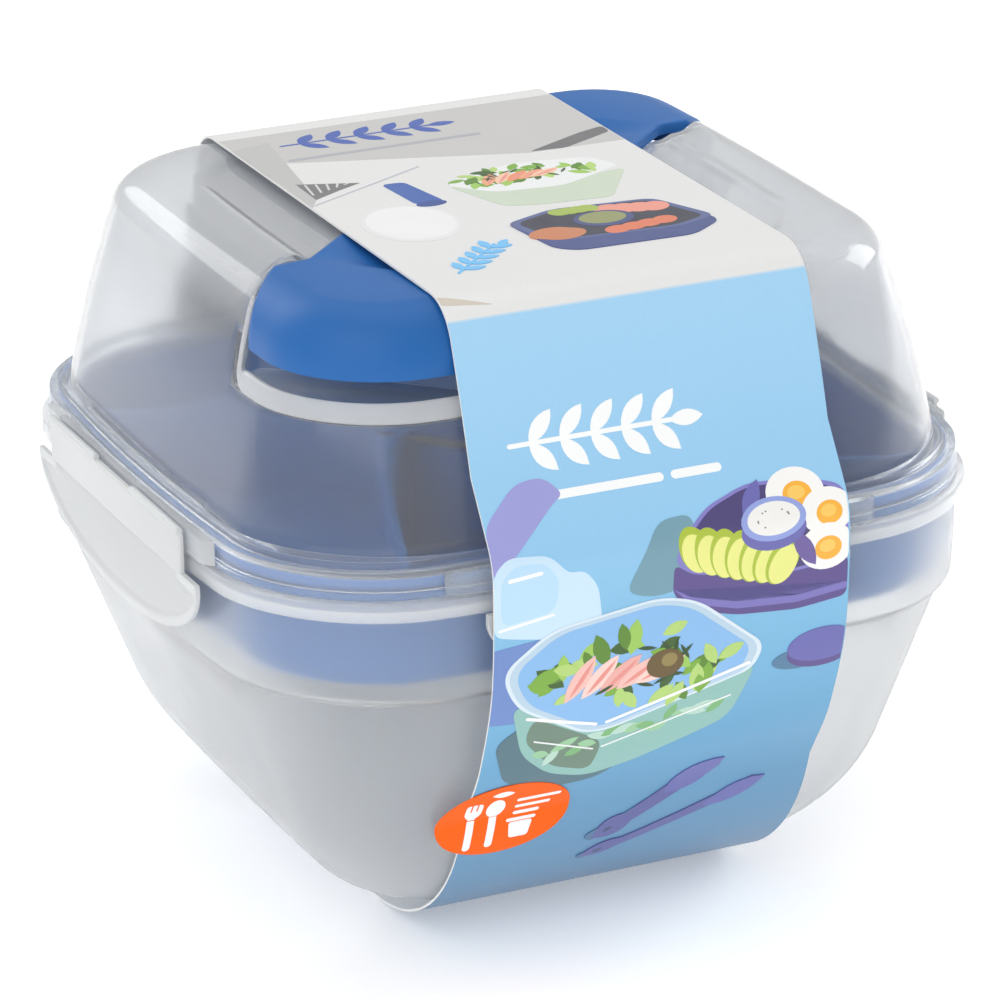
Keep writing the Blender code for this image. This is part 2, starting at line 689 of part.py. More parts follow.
# ---------------------------------------------------------------- assembly
def main():
    for obj in list(bpy.data.objects):
        bpy.data.objects.remove(obj)
    frosted = material("frosted_clear", (0.80, 0.82, 0.84), 0.35)
    blue = material("blue_plastic", (0.045, 0.13, 0.38), 0.35)
    seal = material("blue_seal", (0.15, 0.35, 0.68), 0.5)
    card = material("printed_card", (0.42, 0.70, 0.95), 0.45)
    orange = material("orange_sticker", (1.0, 0.14, 0.01), 0.4)

    build_bowl(frosted)
    build_tray(blue)
    build_sauce_cup(frosted)
    build_sauce_cup_lid(blue)
    build_lid(frosted)
    build_gasket(seal)
    build_cover(blue)
    build_knife(blue)
    build_fork(blue)
    for turns, side in enumerate(("right", "back", "left", "front")):
        lean = TAB_LEAN if side in ("right", "left") else TAB_LEAN_UNDER_CARD
        build_latch(f"latch_{side}", turns * math.pi / 2, lean, frosted)
    build_sleeve(card)
    build_sticker(orange)


main()
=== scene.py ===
"""Visual model of the snap lid food container, built round its CAD frame.

Lengths are in millimetres, in the frame's own axes, and become metres when a mesh is made.
"""
from math import atan2, ceil, copysign, cos, degrees, dist, hypot, pi, radians, sin, sqrt, tan
import random
import bmesh
import bpy
from mathutils import Matrix, Vector


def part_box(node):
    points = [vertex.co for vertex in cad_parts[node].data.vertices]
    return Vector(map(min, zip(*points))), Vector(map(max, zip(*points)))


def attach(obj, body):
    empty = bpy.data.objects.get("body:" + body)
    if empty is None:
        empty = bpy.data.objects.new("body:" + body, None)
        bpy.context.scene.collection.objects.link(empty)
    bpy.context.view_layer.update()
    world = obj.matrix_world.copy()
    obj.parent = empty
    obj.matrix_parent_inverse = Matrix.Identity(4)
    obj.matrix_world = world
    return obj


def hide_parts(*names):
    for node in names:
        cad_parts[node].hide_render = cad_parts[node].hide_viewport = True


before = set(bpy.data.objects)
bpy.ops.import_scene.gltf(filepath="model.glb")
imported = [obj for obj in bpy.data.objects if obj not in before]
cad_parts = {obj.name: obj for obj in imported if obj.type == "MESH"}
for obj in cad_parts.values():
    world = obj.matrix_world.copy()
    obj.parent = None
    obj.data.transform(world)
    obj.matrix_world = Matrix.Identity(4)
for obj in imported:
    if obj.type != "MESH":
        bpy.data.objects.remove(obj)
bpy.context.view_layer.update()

MM = 0.001
SIDES = ("right", "back", "left", "front")


def cad(node, corner, axis):
    """One coordinate of a CAD node's box, in millimetres."""
    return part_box(node)[corner][axis] / MM


# Heights and half widths that are read from the CAD nodes
LOW, HIGH = 0, 1
BOWL_BASE_Z = cad("bowl", LOW, 2)
RIM_TOP_Z = cad("bowl", HIGH, 2)
RIM_HALF = cad("bowl", HIGH, 0)
TRAY_FLOOR_Z = cad("tray", LOW, 2)
CUP_BASE_Z = cad("sauce_cup", LOW, 2)
CUP_TOP_Z = cad("sauce_cup", HIGH, 2)
CUP_LID_RADIUS = cad("sauce_cup_lid", HIGH, 0)
DOME_TOP_Z = cad("lid", HIGH, 2)
COVER_TOP_Z = cad("cutlery_cover", HIGH, 2)
TOOL_Z = cad("knife", LOW, 2)
SLEEVE_HALF = cad("sleeve", HIGH, 0)
LATCH_OUT = cad("latch_right", HIGH, 0)

# Every rounded-square ring
SHARP_ANGLE = radians(38)
CORNER_STEPS = 16
SIDE_STEPS = 20
RIM_BOW = 0.055
RIM_RADIUS = 34.0
BASE_RADIUS = 16.0

# Bowl
BOTTOM_RADIUS = 52.0
BOTTOM_FLAT = 21.0
STEP_Z = 68.5
STEP_HALF = 83.0
BAND_HALF = 84.6
RIM_LOW_Z = 88.5
WALL = 1.6

# Tray and sauce cup
TRAY_FLANGE_LOW_Z = 92.6
TRAY_FLANGE_TOP_Z = 93.8
TRAY_FLANGE_HALF = 84.0
TRAY_HALF = 82.4
TRAY_WALL = 1.5
RING_RADIUS = 26.0
RING_TOP_Z = 98.0
FIN_TOP_Z = 104.0
FIN_END_Z = 92.6
FIN_REACH = 80.6
CUP_BASE_RADIUS = 19.5
CUP_TOP_RADIUS = 23.2

# Lid
LID_LOW_Z = 94.3
LID_FLANGE_Z = 98.7
SKIRT_LIP_Z = 92.8
SKIRT_HALF = 85.2
LID_WALL = 1.5
DOME_BASE_Z = 100.3
DOME_BASE_HALF = 81.4
DOME_TOP_HALF = 67.0
DOME_EDGE_RADIUS = 9.5
DOME_TOP_CORNER = 21.0
DOME_TOP_BOW = 0.022
DOME_BULGE = 2.4
PAN_HALF = 51.5
PAN_DEPTH = 1.2
LAND_HALF = 48.5
LAND_OUT = 86.0

# Trough, cover and cutlery, along the diagonal from the near left to the far right corner
TROUGH_FLOOR_Z = 133.5
TROUGH_LEDGE_Z = 145.0
TROUGH_MID_HALF = 19.2
TROUGH_END_HALF = 24.4
TROUGH_WIDE_FROM = 49.0
TROUGH_FLARE = 5.0
TROUGH_REACH = 110.0
POCKET_FLOOR_Z = 126.8
POCKET_HALF = 26.5
POCKET_FROM = 66.0
LIP_Z = 128.2
LIP_WIDE = 4.2
LIP_THIN = 0.8
LIP_HALF = 25.2
LIP_TOP_Z = 143.0
COVER_MID_HALF = 18.6
COVER_END_HALF = 23.5
COVER_FLAT = 58.0
COVER_ROUND = 12.5
COVER_LIP = 1.0
COVER_WALL_HALF = 71.2
COVER_WALL = 1.5
COVER_CHANNEL = 1.8
COVER_SKIRT = 2.4
COVER_COLUMNS = 28
TOOL_THICK = 1.8
TOOL_START = -81.0
TOOL_LENGTH = 154.0
TOOL_OFFSET = 9.6

# Latches
HINGE_Z = 98.0
PLATE_THICK = 1.1
PLATE_HALF = 38.8
NOTCH_HALF = 10.5
PLATE_LOW_Z = 88.6
TAB_HALF = 47.0
UNDER_CARD_WIDTH = 0.87
TAB_DROP = 17.6
TAB_TOP_Z = 88.9
TAB_SET_BACK = 0.22
PLATE_OUT = LATCH_OUT - 0.2
KNUCKLE_RADIUS = 0.85
KNUCKLE_SET_BACK = 0.65
TAB_LEAN = 0.3
TAB_LEAN_UNDER_CARD = 1.9
TAB_BORDER = 2.3

# Sleeve
CARD = 0.5
SLEEVE_SLACK = 0.95
SLEEVE_LEAVES_Z = 114.0
SLEEVE_SIDE = [(88.6, 99.3), (88.5, 87.0), (87.8, 77.0), (86.5, 69.0), (83.6, 60.5), (79.0, 49.5)]
PANEL_EDGE_Z = 144.9
INK = 0.03


# ---------------------------------------------------------------- materials
def srgb(r, g, b):
    """Linear colour from 0 to 255 display values."""
    return tuple((c / 255 / 12.92) if c <= 10 else ((c / 255 + 0.055) / 1.055) ** 2.4 for c in (r, g, b))


def ramp(tree, source, low, high, to_low, to_high):
    node = tree.nodes.new("ShaderNodeMapRange")
    for name, value in (("From Min", low), ("From Max", high), ("To Min", to_low), ("To Max", to_high)):
        node.inputs[name].default_value = value
    tree.links.new(source, node.inputs["Value"])
    return node.outputs["Result"]


def noise(tree, scale, detail=3.0):
    place = tree.nodes.new("ShaderNodeTexCoord")
    node = tree.nodes.new("ShaderNodeTexNoise")
    node.inputs["Scale"].default_value = scale
    node.inputs["Detail"].default_value = detail
    tree.links.new(place.outputs["Object"], node.inputs["Vector"])
    return node.outputs["Fac"]


def shaded(tree, factor, dark, light):
    """Colour between two, by a factor."""
    node = tree.nodes.new("ShaderNodeMix")
    node.data_type = "RGBA"
    node.inputs["A"].default_value = (*dark, 1)
    node.inputs["B"].default_value = (*light, 1)
    tree.links.new(factor, node.inputs["Factor"])
    return node.outputs["Result"]


def surface(name, colour, rough, grain, depth, vary=0.06, cloud=28.0, **sockets):
    """Principled material: cloudy colour and roughness, and a fine moulded or printed grain."""
    mat = bpy.data.materials.new(name)
    mat.use_nodes = True
    tree = mat.node_tree
    shader = tree.nodes["Principled BSDF"]
    wide = noise(tree, cloud, 4.0)
    if colour is not None:
        dark = tuple(c * (1 - vary) for c in colour)
        tree.links.new(shaded(tree, wide, dark, colour), shader.inputs["Base Color"])
    tree.links.new(ramp(tree, wide, 0.3, 0.7, rough * 0.85, rough * 1.15), shader.inputs["Roughness"])
    bump = tree.nodes.new("ShaderNodeBump")
    bump.inputs["Strength"].default_value = 0.35
    bump.inputs["Distance"].default_value = depth * MM
    tree.links.new(noise(tree, grain), bump.inputs["Height"])
    tree.links.new(bump.outputs["Normal"], shader.inputs["Normal"])
    for key, value in sockets.items():
        shader.inputs[key.replace("_", " ")].default_value = value
    return mat


def by_height(tree, low, high, to_low, to_high):
    """A value that follows the height on the object, from low to high in millimetres."""
    place = tree.nodes.new("ShaderNodeTexCoord")
    split = tree.nodes.new("ShaderNodeSeparateXYZ")
    tree.links.new(place.outputs["Object"], split.inputs["Vector"])
    return ramp(tree, split.outputs["Z"], low * MM, high * MM, to_low, to_high)


def haze_by_height(mat, low, high, passed_low, passed_high):
    """Clear plastic whose moulded haze grows towards the top, where less light passes."""
    tree = mat.node_tree
    passed = by_height(tree, low, high, passed_low, passed_high)
    tree.links.new(passed, tree.nodes["Principled BSDF"].inputs["Transmission Weight"])


def let_light_in(mat, tint):
    """Lamps shine through this clear plastic, so that what is behind it is lit."""
    tree = mat.node_tree
    rays = tree.nodes.new("ShaderNodeLightPath")
    passing = tree.nodes.new("ShaderNodeBsdfTransparent")
    passing.inputs["Color"].default_value = (*tint, 1)
    mix = tree.nodes.new("ShaderNodeMixShader")
    tree.links.new(rays.outputs["Is Shadow Ray"], mix.inputs["Fac"])
    tree.links.new(tree.nodes["Principled BSDF"].outputs["BSDF"], mix.inputs[1])
    tree.links.new(passing.outputs["BSDF"], mix.inputs[2])
    tree.links.new(mix.outputs["Shader"], tree.nodes["Material Output"].inputs["Surface"])


def height_colours(mat, stops):
    """Base colour by height on the object, from (z in mm, colour) stops."""
    tree = mat.node_tree
    top = stops[-1][0]
    level = by_height(tree, 0, top, 0, 1)
    bands = tree.nodes.new("ShaderNodeValToRGB")
    for i, (z, colour) in enumerate(stops):
        point = bands.color_ramp.elements[i] if i < 2 else bands.color_ramp.elements.new(z / top)
        point.position = z / top
        point.color = (*colour, 1)
    tree.links.new(level, bands.inputs["Fac"])
    speck = tree.nodes.new("ShaderNodeMix")
    speck.data_type = "RGBA"
    speck.blend_type = "MULTIPLY"
    speck.inputs["Factor"].default_value = 0.05
    tree.links.new(bands.outputs["Color"], speck.inputs["A"])
    tree.links.new(noise(tree, 1400), speck.inputs["B"])
    shader = tree.nodes["Principled BSDF"]
    tree.links.new(speck.outputs["Result"], shader.inputs["Base Color"])


clear = surface("clear_polypropylene", srgb(232, 234, 236), 0.10, 260, 0.02, 0.03,
                Transmission_Weight=0.96, IOR=1.42)
# Whiter, less see-through copy of the clear plastic for the lid's bevelled edges: painted edge highlights.
painted_edge_highlight = surface("clear_plastic_edge", srgb(240, 242, 243), 0.3, 900, 0.03, 0.03,
                     Transmission_Weight=0.35, IOR=1.42)
rim_frost = surface("clear_plastic_rim", srgb(240, 245, 250), 0.22, 700, 0.015, 0.03,
                    Transmission_Weight=0.85, IOR=1.36)
frost = surface("frosted_polypropylene", srgb(252, 253, 253), 0.34, 900, 0.03, 0.02,
                Transmission_Weight=0.87, IOR=1.33)
pale_lip = surface("pale_moulded_lip", srgb(236, 238, 240), 0.3, 700, 0.05, 0.03, Transmission_Weight=0.6,
                   IOR=1.36)
milky = surface("milky_latch_plastic", srgb(233, 235, 236), 0.36, 1100, 0.05, 0.03,
                Transmission_Weight=0.35, IOR=1.45)
# More see-through copy of the latch plastic for the dish in each tab, so that the dish reads darker:
# painted shade, on top of the dish's thinner wall.
milky_dish_shade = surface("milky_plastic_dish_shade", srgb(234, 236, 237), 0.4, 1100, 0.05, 0.03,
                     Transmission_Weight=0.45, IOR=1.4)
haze_by_height(clear, 136.0, 145.0, 0.925, 0.70)
haze_by_height(frost, 87.0, 90.0, 0.90, 0.70)
for plastic, tint in ((clear, (0.95, 0.95, 0.96)), (painted_edge_highlight, (0.7, 0.7, 0.7)),
                      (rim_frost, (0.88, 0.89, 0.90)), (frost, (0.88, 0.89, 0.90)),
                      (pale_lip, (0.8, 0.8, 0.8)), (milky, (0.6, 0.6, 0.6)),
                      (milky_dish_shade, (0.6, 0.6, 0.6))):
    let_light_in(plastic, tint)
deep_blue = surface("satin_blue_plastic", srgb(34, 103, 176), 0.42, 2400, 0.04, 0.10,
                    Specular_IOR_Level=0.32)
tray_blue = surface("tray_blue_plastic", srgb(30, 114, 190), 0.34, 1800, 0.04, 0.10)
rubber = surface("soft_blue_seal", srgb(58, 128, 205), 0.5, 1500, 0.03, 0.08)
card_raw = surface("white_card_board", srgb(246, 245, 242), 0.75, 3000, 0.03, 0.03)
card_print_and_shade = surface("coated_printed_card_and_shade", None, 0.42, 2600, 0.02, Coat_Weight=0.15, Coat_Roughness=0.25)
# The band's blue darkens towards its bottom, where it turns under the bowl away from the lamps: painted
# shade over the printed blue. The pale top panel is print.
height_colours(card_print_and_shade, [(0.0, srgb(88, 120, 152)), (20.0, srgb(100, 146, 182)),
                            (50.0, srgb(104, 166, 206)), (78.0, srgb(128, 190, 228)),
                            (104.0, srgb(152, 205, 241)), (PANEL_EDGE_Z - 0.1, srgb(165, 212, 244)),
                            (PANEL_EDGE_Z, srgb(230, 230, 229)), (149.0, srgb(228, 228, 227))])
film = surface("orange_sticker_film", srgb(255, 102, 0), 0.4, 900, 0.02, 0.04, Specular_IOR_Level=0.15)


# ---------------------------------------------------------------- meshes
def square_outline(half, radius, bow):
    """Counter-clockwise outline of a round-cornered square with bowed sides."""
    radius = min(radius, 0.95 * half)
    centre = half - radius
    points = []
    for quarter in range(4):
        start = quarter * pi / 2
        cx = centre * (1 if quarter in (0, 3) else -1)
        cy = centre * (1 if quarter in (0, 1) else -1)
        for i in range(CORNER_STEPS + 1):
            a = start + pi / 2 * i / CORNER_STEPS
            points.append((cx + radius * cos(a), cy + radius * sin(a)))
        out = start + pi / 2
        for i in range(1, SIDE_STEPS):
            along = centre * (2 * i / SIDE_STEPS - 1)
            points.append((half * cos(out) - along * sin(out), half * sin(out) + along * cos(out)))
    return [(x * (1 - bow * (y / half) ** 2), y * (1 - bow * (x / half) ** 2)) for x, y in points]


def square_ring(half, z, radius, bow):
    return [(x, y, z) for x, y in square_outline(half, radius, bow)]


def rim_ring(half, z):
    return square_ring(half, z, RIM_RADIUS + half - RIM_HALF, RIM_BOW)


def circle_ring(radius, z, steps=72):
    return [(radius * cos(2 * pi * i / steps), radius * sin(2 * pi * i / steps), z) for i in range(steps)]


def rounded(path, radius, steps=3):
    """The path with each inner corner turned into a short curve."""
    out = [path[0]]
    for a, b, c in zip(path, path[1:], path[2:]):
        a, b, c = Vector(a), Vector(b), Vector(c)
        r = min(radius, 0.45 * (b - a).length, 0.45 * (c - b).length)
        start, end = b + (a - b).normalized() * r, b + (c - b).normalized() * r
        for i in range(steps + 1):
            t = i / steps
            out.append(tuple(start * (1 - t) ** 2 + b * 2 * t * (1 - t) + end * t * t))
    out.append(path[-1])
    return out


def make_object(name, bm, *mats):
    bmesh.ops.recalc_face_normals(bm, faces=bm.faces)
    mesh = bpy.data.meshes.new(name)
    bm.to_mesh(mesh)
    bm.free()
    mesh.transform(Matrix.Scale(MM, 4))
    obj = bpy.data.objects.new(name, mesh)
    bpy.context.collection.objects.link(obj)
    for mat in mats:
        mesh.materials.append(mat)
    mesh.shade_smooth()
    mesh.set_sharp_from_angle(angle=SHARP_ANGLE)
    return obj


def add_loft(bm, rings, closed=False):
    """Skin equal-length rings. An open loft is capped; a closed one joins end to start."""
    loops = [[bm.verts.new(p) for p in ring] for ring in rings]
    pairs = list(zip(loops, loops[1:]))
    if closed:
        pairs.append((loops[-1], loops[0]))
    for low, high in pairs:
        for i in range(len(low)):
            j = (i + 1) % len(low)
            bm.faces.new((low[i], low[j], high[j], high[i]))
    if not closed:
        bm.faces.new(reversed(loops[0]))
        bm.faces.new(loops[-1])


def loft_object(name, rings, *mats, closed=False):
    bm = bmesh.new()
    add_loft(bm, rings, closed)
    return make_object(name, bm, *mats)


def prism_object(name, outline, low, high, *mats):
    return loft_object(name, [[(x, y, low) for x, y in outline], [(x, y, high) for x, y in outline]],
                       *mats)


def combine(target, other, operation):
    modifier = target.modifiers.new(other.name, "BOOLEAN")
    modifier.object = other
    modifier.operation = operation
    modifier.solver = "EXACT"


def settle(obj, *guides, bevel=0.0):
    """Apply the piece's modifiers, with a small bevel on its sharp edges, and drop the guides."""
    if bevel:
        edge = obj.modifiers.new("edge", "BEVEL")
        edge.width = bevel * MM
        edge.segments = 2
        edge.limit_method = "ANGLE"
        edge.angle_limit = radians(50)
        # The bevel takes the piece's last material; on the lid that is the copy with painted edge
        # highlights.
        edge.material = len(obj.data.materials) - 1
    done = obj.evaluated_get(bpy.context.evaluated_depsgraph_get())
    mesh = bpy.data.meshes.new_from_object(done)
    obj.modifiers.clear()
    obj.data = mesh
    mesh.shade_smooth()
    mesh.set_sharp_from_angle(angle=SHARP_ANGLE)
    for guide in guides:
        bpy.data.objects.remove(guide)


def arc(centre, radius, start, end, steps):
    """Points (across, up) on an arc, angles in degrees."""
    return [(centre[0] + radius * cos(radians(start + (end - start) * i / steps)),
             centre[1] + radius * sin(radians(start + (end - start) * i / steps)))
            for i in range(steps + 1)]


def blend(a, b, t):
    t = min(max(t, 0.0), 1.0)
    return a + (b - a) * t * t * (3 - 2 * t)


def diagonal(u, v):
    """From (along the trough, across it) to (x, y)."""
    return ((u + v) / sqrt(2), (u - v) / sqrt(2))


def install(obj, body, slot, *nodes):
    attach(obj, body)
    if nodes:
        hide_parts(*nodes)


# ---------------------------------------------------------------- bowl
def bowl_corner(z):
    """Corner radius and side bow at a height on the bowl's wall."""
    t = min(max((z - BOWL_BASE_Z) / (STEP_Z - BOWL_BASE_Z), 0), 1)
    return BASE_RADIUS + (RIM_RADIUS - BASE_RADIUS) * t, RIM_BOW * t


def bowl_profile(inset):
    """Wall from the flat bottom up to the band, (half width, height), moved in by inset."""
    centre = (BOTTOM_FLAT, BOWL_BASE_Z + BOTTOM_RADIUS)
    points = arc(centre, BOTTOM_RADIUS - inset, -90, -20, 22)
    last = points[-1]
    step = (STEP_HALF - inset, STEP_Z + 0.3 * inset)
    points += [(last[0] + (step[0] - last[0]) * t, last[1] + (step[1] - last[1]) * t)
               for t in (0.25, 0.5, 0.75)]
    ledge = (BAND_HALF - 0.4 - inset, STEP_Z + 0.9 + 0.3 * inset)
    points += rounded([step, ledge, (BAND_HALF - inset, STEP_Z + 1.8 + 0.3 * inset)], 0.5)
    return points


def build_bowl():
    outer = [square_ring(w, z, *bowl_corner(z)) for w, z in bowl_profile(0)]
    lip = rounded([(BAND_HALF, 80.0), (BAND_HALF, 90.6), (85.5, 90.6), (85.5, RIM_LOW_Z),
                   (RIM_HALF, RIM_LOW_Z), (RIM_HALF, RIM_TOP_Z), (BAND_HALF - WALL, RIM_TOP_Z),
                   (BAND_HALF - WALL, 80.0)], 0.45)
    rim = [rim_ring(w, z) for w, z in lip]
    inner = []
    for w, z in reversed(bowl_profile(WALL)):
        radius, bow = bowl_corner(z)
        inner.append(square_ring(w, z, radius - WALL, bow))
    install(loft_object("bowl_shell", outer + rim + inner, frost), "bowl", "frosted_plastic", "bowl")


# ---------------------------------------------------------------- tray and sauce cup
def wall_along(path, thickness, low, tops):
    """Closed wall that follows a path in plan, with a rounded top at each point's own height."""
    rings = []
    for i, (x, y) in enumerate(path):
        before = Vector(path[max(i - 1, 0)])
        after = Vector(path[min(i + 1, len(path) - 1)])
        run = (after - before).normalized()
        side = Vector((-run.y, run.x)) * thickness / 2
        section = [(1, low - tops[i]), (-1, low - tops[i]), (-1, -0.7), (-0.7, -0.2), (0, 0), (0.7, -0.2),
                   (1, -0.7)]
        rings.append([(x + side.x * s, y + side.y * s, tops[i] + dz) for s, dz in section])
    return rings


def build_tray():
    outer = [(75.0, TRAY_FLOOR_Z), (79.6, TRAY_FLOOR_Z + 1.4), (80.9, TRAY_FLOOR_Z + 5),
             (TRAY_HALF, TRAY_FLANGE_LOW_Z), (TRAY_FLANGE_HALF, TRAY_FLANGE_LOW_Z), (TRAY_FLANGE_HALF,
                                                                                     TRAY_FLANGE_TOP_Z)]
    inner = [(TRAY_HALF - TRAY_WALL, TRAY_FLANGE_TOP_Z), (79.4, TRAY_FLOOR_Z + 6),
             (78.1, TRAY_FLOOR_Z + 2.6), (74.5, TRAY_FLOOR_Z + TRAY_WALL)]
    tray = loft_object("tray_shell", [rim_ring(w, z) for w, z in rounded(outer + inner, 0.5, 2)],
                       tray_blue)
    sink = TRAY_FLOOR_Z + 0.5
    inside = RING_RADIUS - TRAY_WALL
    section = rounded([(RING_RADIUS, sink), (RING_RADIUS, RING_TOP_Z), (inside, RING_TOP_Z),
                       (inside, sink)], 0.4)
    guides = [loft_object("collar", [circle_ring(r, z) for r, z in section], tray_blue, closed=True)]
    steps = 24
    for heading in (20, 110, 200, 290):
        path, tops = [], []
        for i in range(steps + 1):
            t = i / steps
            reach = RING_RADIUS - 0.6 + (FIN_REACH - RING_RADIUS) * t
            turn = radians(heading + 34 * sin(t * pi * 0.5))
            limit = (FIN_REACH - 0.2) / max(abs(cos(turn)), abs(sin(turn)))
            reach = min(reach * (1 + 0.16 * t), limit)
            path.append((reach * cos(turn), reach * sin(turn)))
            tops.append(blend(FIN_TOP_Z, FIN_END_Z, t * 1.25))
        guides.append(loft_object(f"fin_{heading}", wall_along(path, 1.7, sink, tops), tray_blue))
    for guide in guides:
        combine(tray, guide, "UNION")
    settle(tray, *guides)
    install(tray, "tray", "blue_plastic", "tray")


def build_sauce_cup():
    wall = 1.3
    profile = rounded([(10.0, CUP_BASE_Z), (CUP_BASE_RADIUS - 1.5, CUP_BASE_Z),
                       (CUP_BASE_RADIUS, CUP_BASE_Z + 1.5), (CUP_TOP_RADIUS, CUP_TOP_Z),
                       (CUP_TOP_RADIUS - wall, CUP_TOP_Z), (CUP_BASE_RADIUS - wall, CUP_BASE_Z + 2.2),
                       (CUP_BASE_RADIUS - wall - 1.2, CUP_BASE_Z + wall), (10.0, CUP_BASE_Z + wall)], 0.5)
    cup = loft_object("sauce_cup_shell", [circle_ring(r, z) for r, z in profile], frost)
    install(cup, "sauce_cup", "frosted_plastic", "sauce_cup")
    low, top = CUP_TOP_Z - 2.6, CUP_TOP_Z + 2.0
    profile = rounded([(3.0, CUP_TOP_Z + 1.0), (19.5, CUP_TOP_Z + 1.0), (21.0, top),
                       (CUP_LID_RADIUS, top), (CUP_LID_RADIUS, low), (CUP_TOP_RADIUS + 0.3, low),
                       (CUP_TOP_RADIUS + 0.3, CUP_TOP_Z + 0.3), (20.8, CUP_TOP_Z + 0.3),
                       (20.3, CUP_TOP_Z - 0.3), (3.0, CUP_TOP_Z - 0.3)], 0.5)
    cap = loft_object("sauce_cup_cap", [circle_ring(r, z) for r, z in profile], deep_blue)
    install(cap, "sauce_cup_lid", "blue_plastic", "sauce_cup_lid")


# ---------------------------------------------------------------- lid
def dome_wall(inset):
    """Dome wall from its base up over the rounded edge, (half width, height)."""
    lean = atan2(DOME_BASE_HALF - DOME_TOP_HALF, DOME_TOP_Z - DOME_BASE_Z)
    radius = DOME_EDGE_RADIUS - inset
    tangent = DOME_EDGE_RADIUS * tan((pi / 2 - lean) / 2)
    centre = (DOME_TOP_HALF - tangent, DOME_TOP_Z - DOME_EDGE_RADIUS)
    edge = arc(centre, radius, degrees(lean), 90, 12)
    wall, steps = [], 14
    for i in range(steps):
        t = i / steps
        w = DOME_BASE_HALF - inset + (edge[0][0] - DOME_BASE_HALF + inset) * t
        wall.append((w + DOME_BULGE * t * (1 - t), DOME_BASE_Z + (edge[0][1] - DOME_BASE_Z) * t))
    return wall + edge


def dome_profile(inset):
    """The dome's wall and the shallow pan in its top."""
    top = DOME_TOP_Z - inset
    pan = rounded([(PAN_HALF + 4, top), (PAN_HALF + 1.8, top), (PAN_HALF - 0.6, top - PAN_DEPTH),
                   (PAN_HALF - 4, top - PAN_DEPTH)], 1.6, 4)
    return dome_wall(inset) + pan


def dome_corner(z):
    """Corner radius and side bow at a height on the dome."""
    t = min(max((z - DOME_BASE_Z) / (DOME_TOP_Z - DOME_BASE_Z), 0), 1)
    return (RIM_RADIUS + (DOME_TOP_CORNER - RIM_RADIUS) * t, RIM_BOW + (DOME_TOP_BOW - RIM_BOW) * t)


def dome_ring(half, z, inset):
    radius, bow = dome_corner(z)
    return square_ring(half, z, radius - inset, bow)


def soft_outline(points, radius, steps=5):
    """Closed plan outline with rounded corners."""
    looped = [points[-1]] + list(points) + [points[0]]
    return rounded(looped, radius, steps)[1:-1]


def trough_outline(mid, end, grow):
    """Plan of the trough: narrow between the ends, wide over both corners."""
    right = [(-TROUGH_REACH, end), (-TROUGH_WIDE_FROM - TROUGH_FLARE, end), (-TROUGH_WIDE_FROM, mid),
             (TROUGH_WIDE_FROM, mid), (TROUGH_WIDE_FROM + TROUGH_FLARE, end), (TROUGH_REACH, end)]
    left = [(u, -v) for u, v in reversed(right)]
    plan = [(u, v + copysign(grow, v)) for u, v in right + left]
    return [diagonal(u, v) for u, v in soft_outline(plan, 2.0)]


def pocket_outline(side, grow):
    half = POCKET_HALF + grow
    near, far = side * (POCKET_FROM - grow), side * TROUGH_REACH
    return [diagonal(u, v) for u, v in soft_outline([(near, half), (near, -half), (far, -half),
                                                     (far, half)], 4.0)]


def cut_trough(target, grow):
    """Take the trough and its two end pockets out of the target, grown by a wall."""
    name = target.name
    guides = [prism_object("upper_" + name, trough_outline(TROUGH_MID_HALF, TROUGH_END_HALF, grow),
                           TROUGH_LEDGE_Z - grow, 170), prism_object("lower_" + name,
                                                                     trough_outline(TROUGH_MID_HALF - 1,
                                                                                    TROUGH_END_HALF - 0.05,
                                                                                    grow),
                                                                     TROUGH_FLOOR_Z - grow, 165)]
    guides += [prism_object(f"pocket_{side}_{name}", pocket_outline(side, grow), POCKET_FLOOR_Z - grow,
                            TROUGH_FLOOR_Z + 0.6 + grow) for side in (-1, 1)]
    for guide in guides:
        for face in guide.data.polygons:
            face.material_index = 1
        combine(target, guide, "DIFFERENCE")
    return guides


def build_lid():
    flange = rounded([(80.0, 95.6), (80.4, 97.0), (83.4, 97.0), (83.6, LID_LOW_Z), (84.3, LID_LOW_Z),
                      (84.3, SKIRT_LIP_Z), (SKIRT_HALF, SKIRT_LIP_Z), (SKIRT_HALF, SKIRT_LIP_Z + 1.1),
                      (SKIRT_HALF - 0.3, SKIRT_LIP_Z + 1.4), (SKIRT_HALF - 0.5, LID_FLANGE_Z),
                      (83.2, LID_FLANGE_Z + 0.1), (82.6, LID_FLANGE_Z - 0.2), (82.0, LID_FLANGE_Z + 0.3),
                      (81.9, DOME_BASE_Z - 0.4)], 0.35)
    rings = [rim_ring(w, z) for w, z in flange]
    rings += [dome_ring(w, z, 0) for w, z in dome_profile(0)]
    # The lid's bevelled edges take its last material, the whiter copy of the clear plastic: painted edge
    # highlights.
    lid = loft_object("lid_shell", rings, clear, rim_frost, painted_edge_highlight)
    for face in lid.data.polygons:
        if face.center.z < DOME_BASE_Z * MM:
            face.material_index = 1
    hollow = [rim_ring(w, z) for w, z in ((78.9, 90.0), (79.1, 97.0))]
    hollow += [dome_ring(w, z, LID_WALL) for w, z in dome_profile(LID_WALL)]
    inside = loft_object("inside", hollow)
    inner_guides = cut_trough(inside, LID_WALL)
    guides = cut_trough(lid, 0)
    combine(lid, inside, "DIFFERENCE")
    settle(lid, inside, *guides, *inner_guides, bevel=0.3)
    install(lid, "lid", "clear_plastic", "lid")


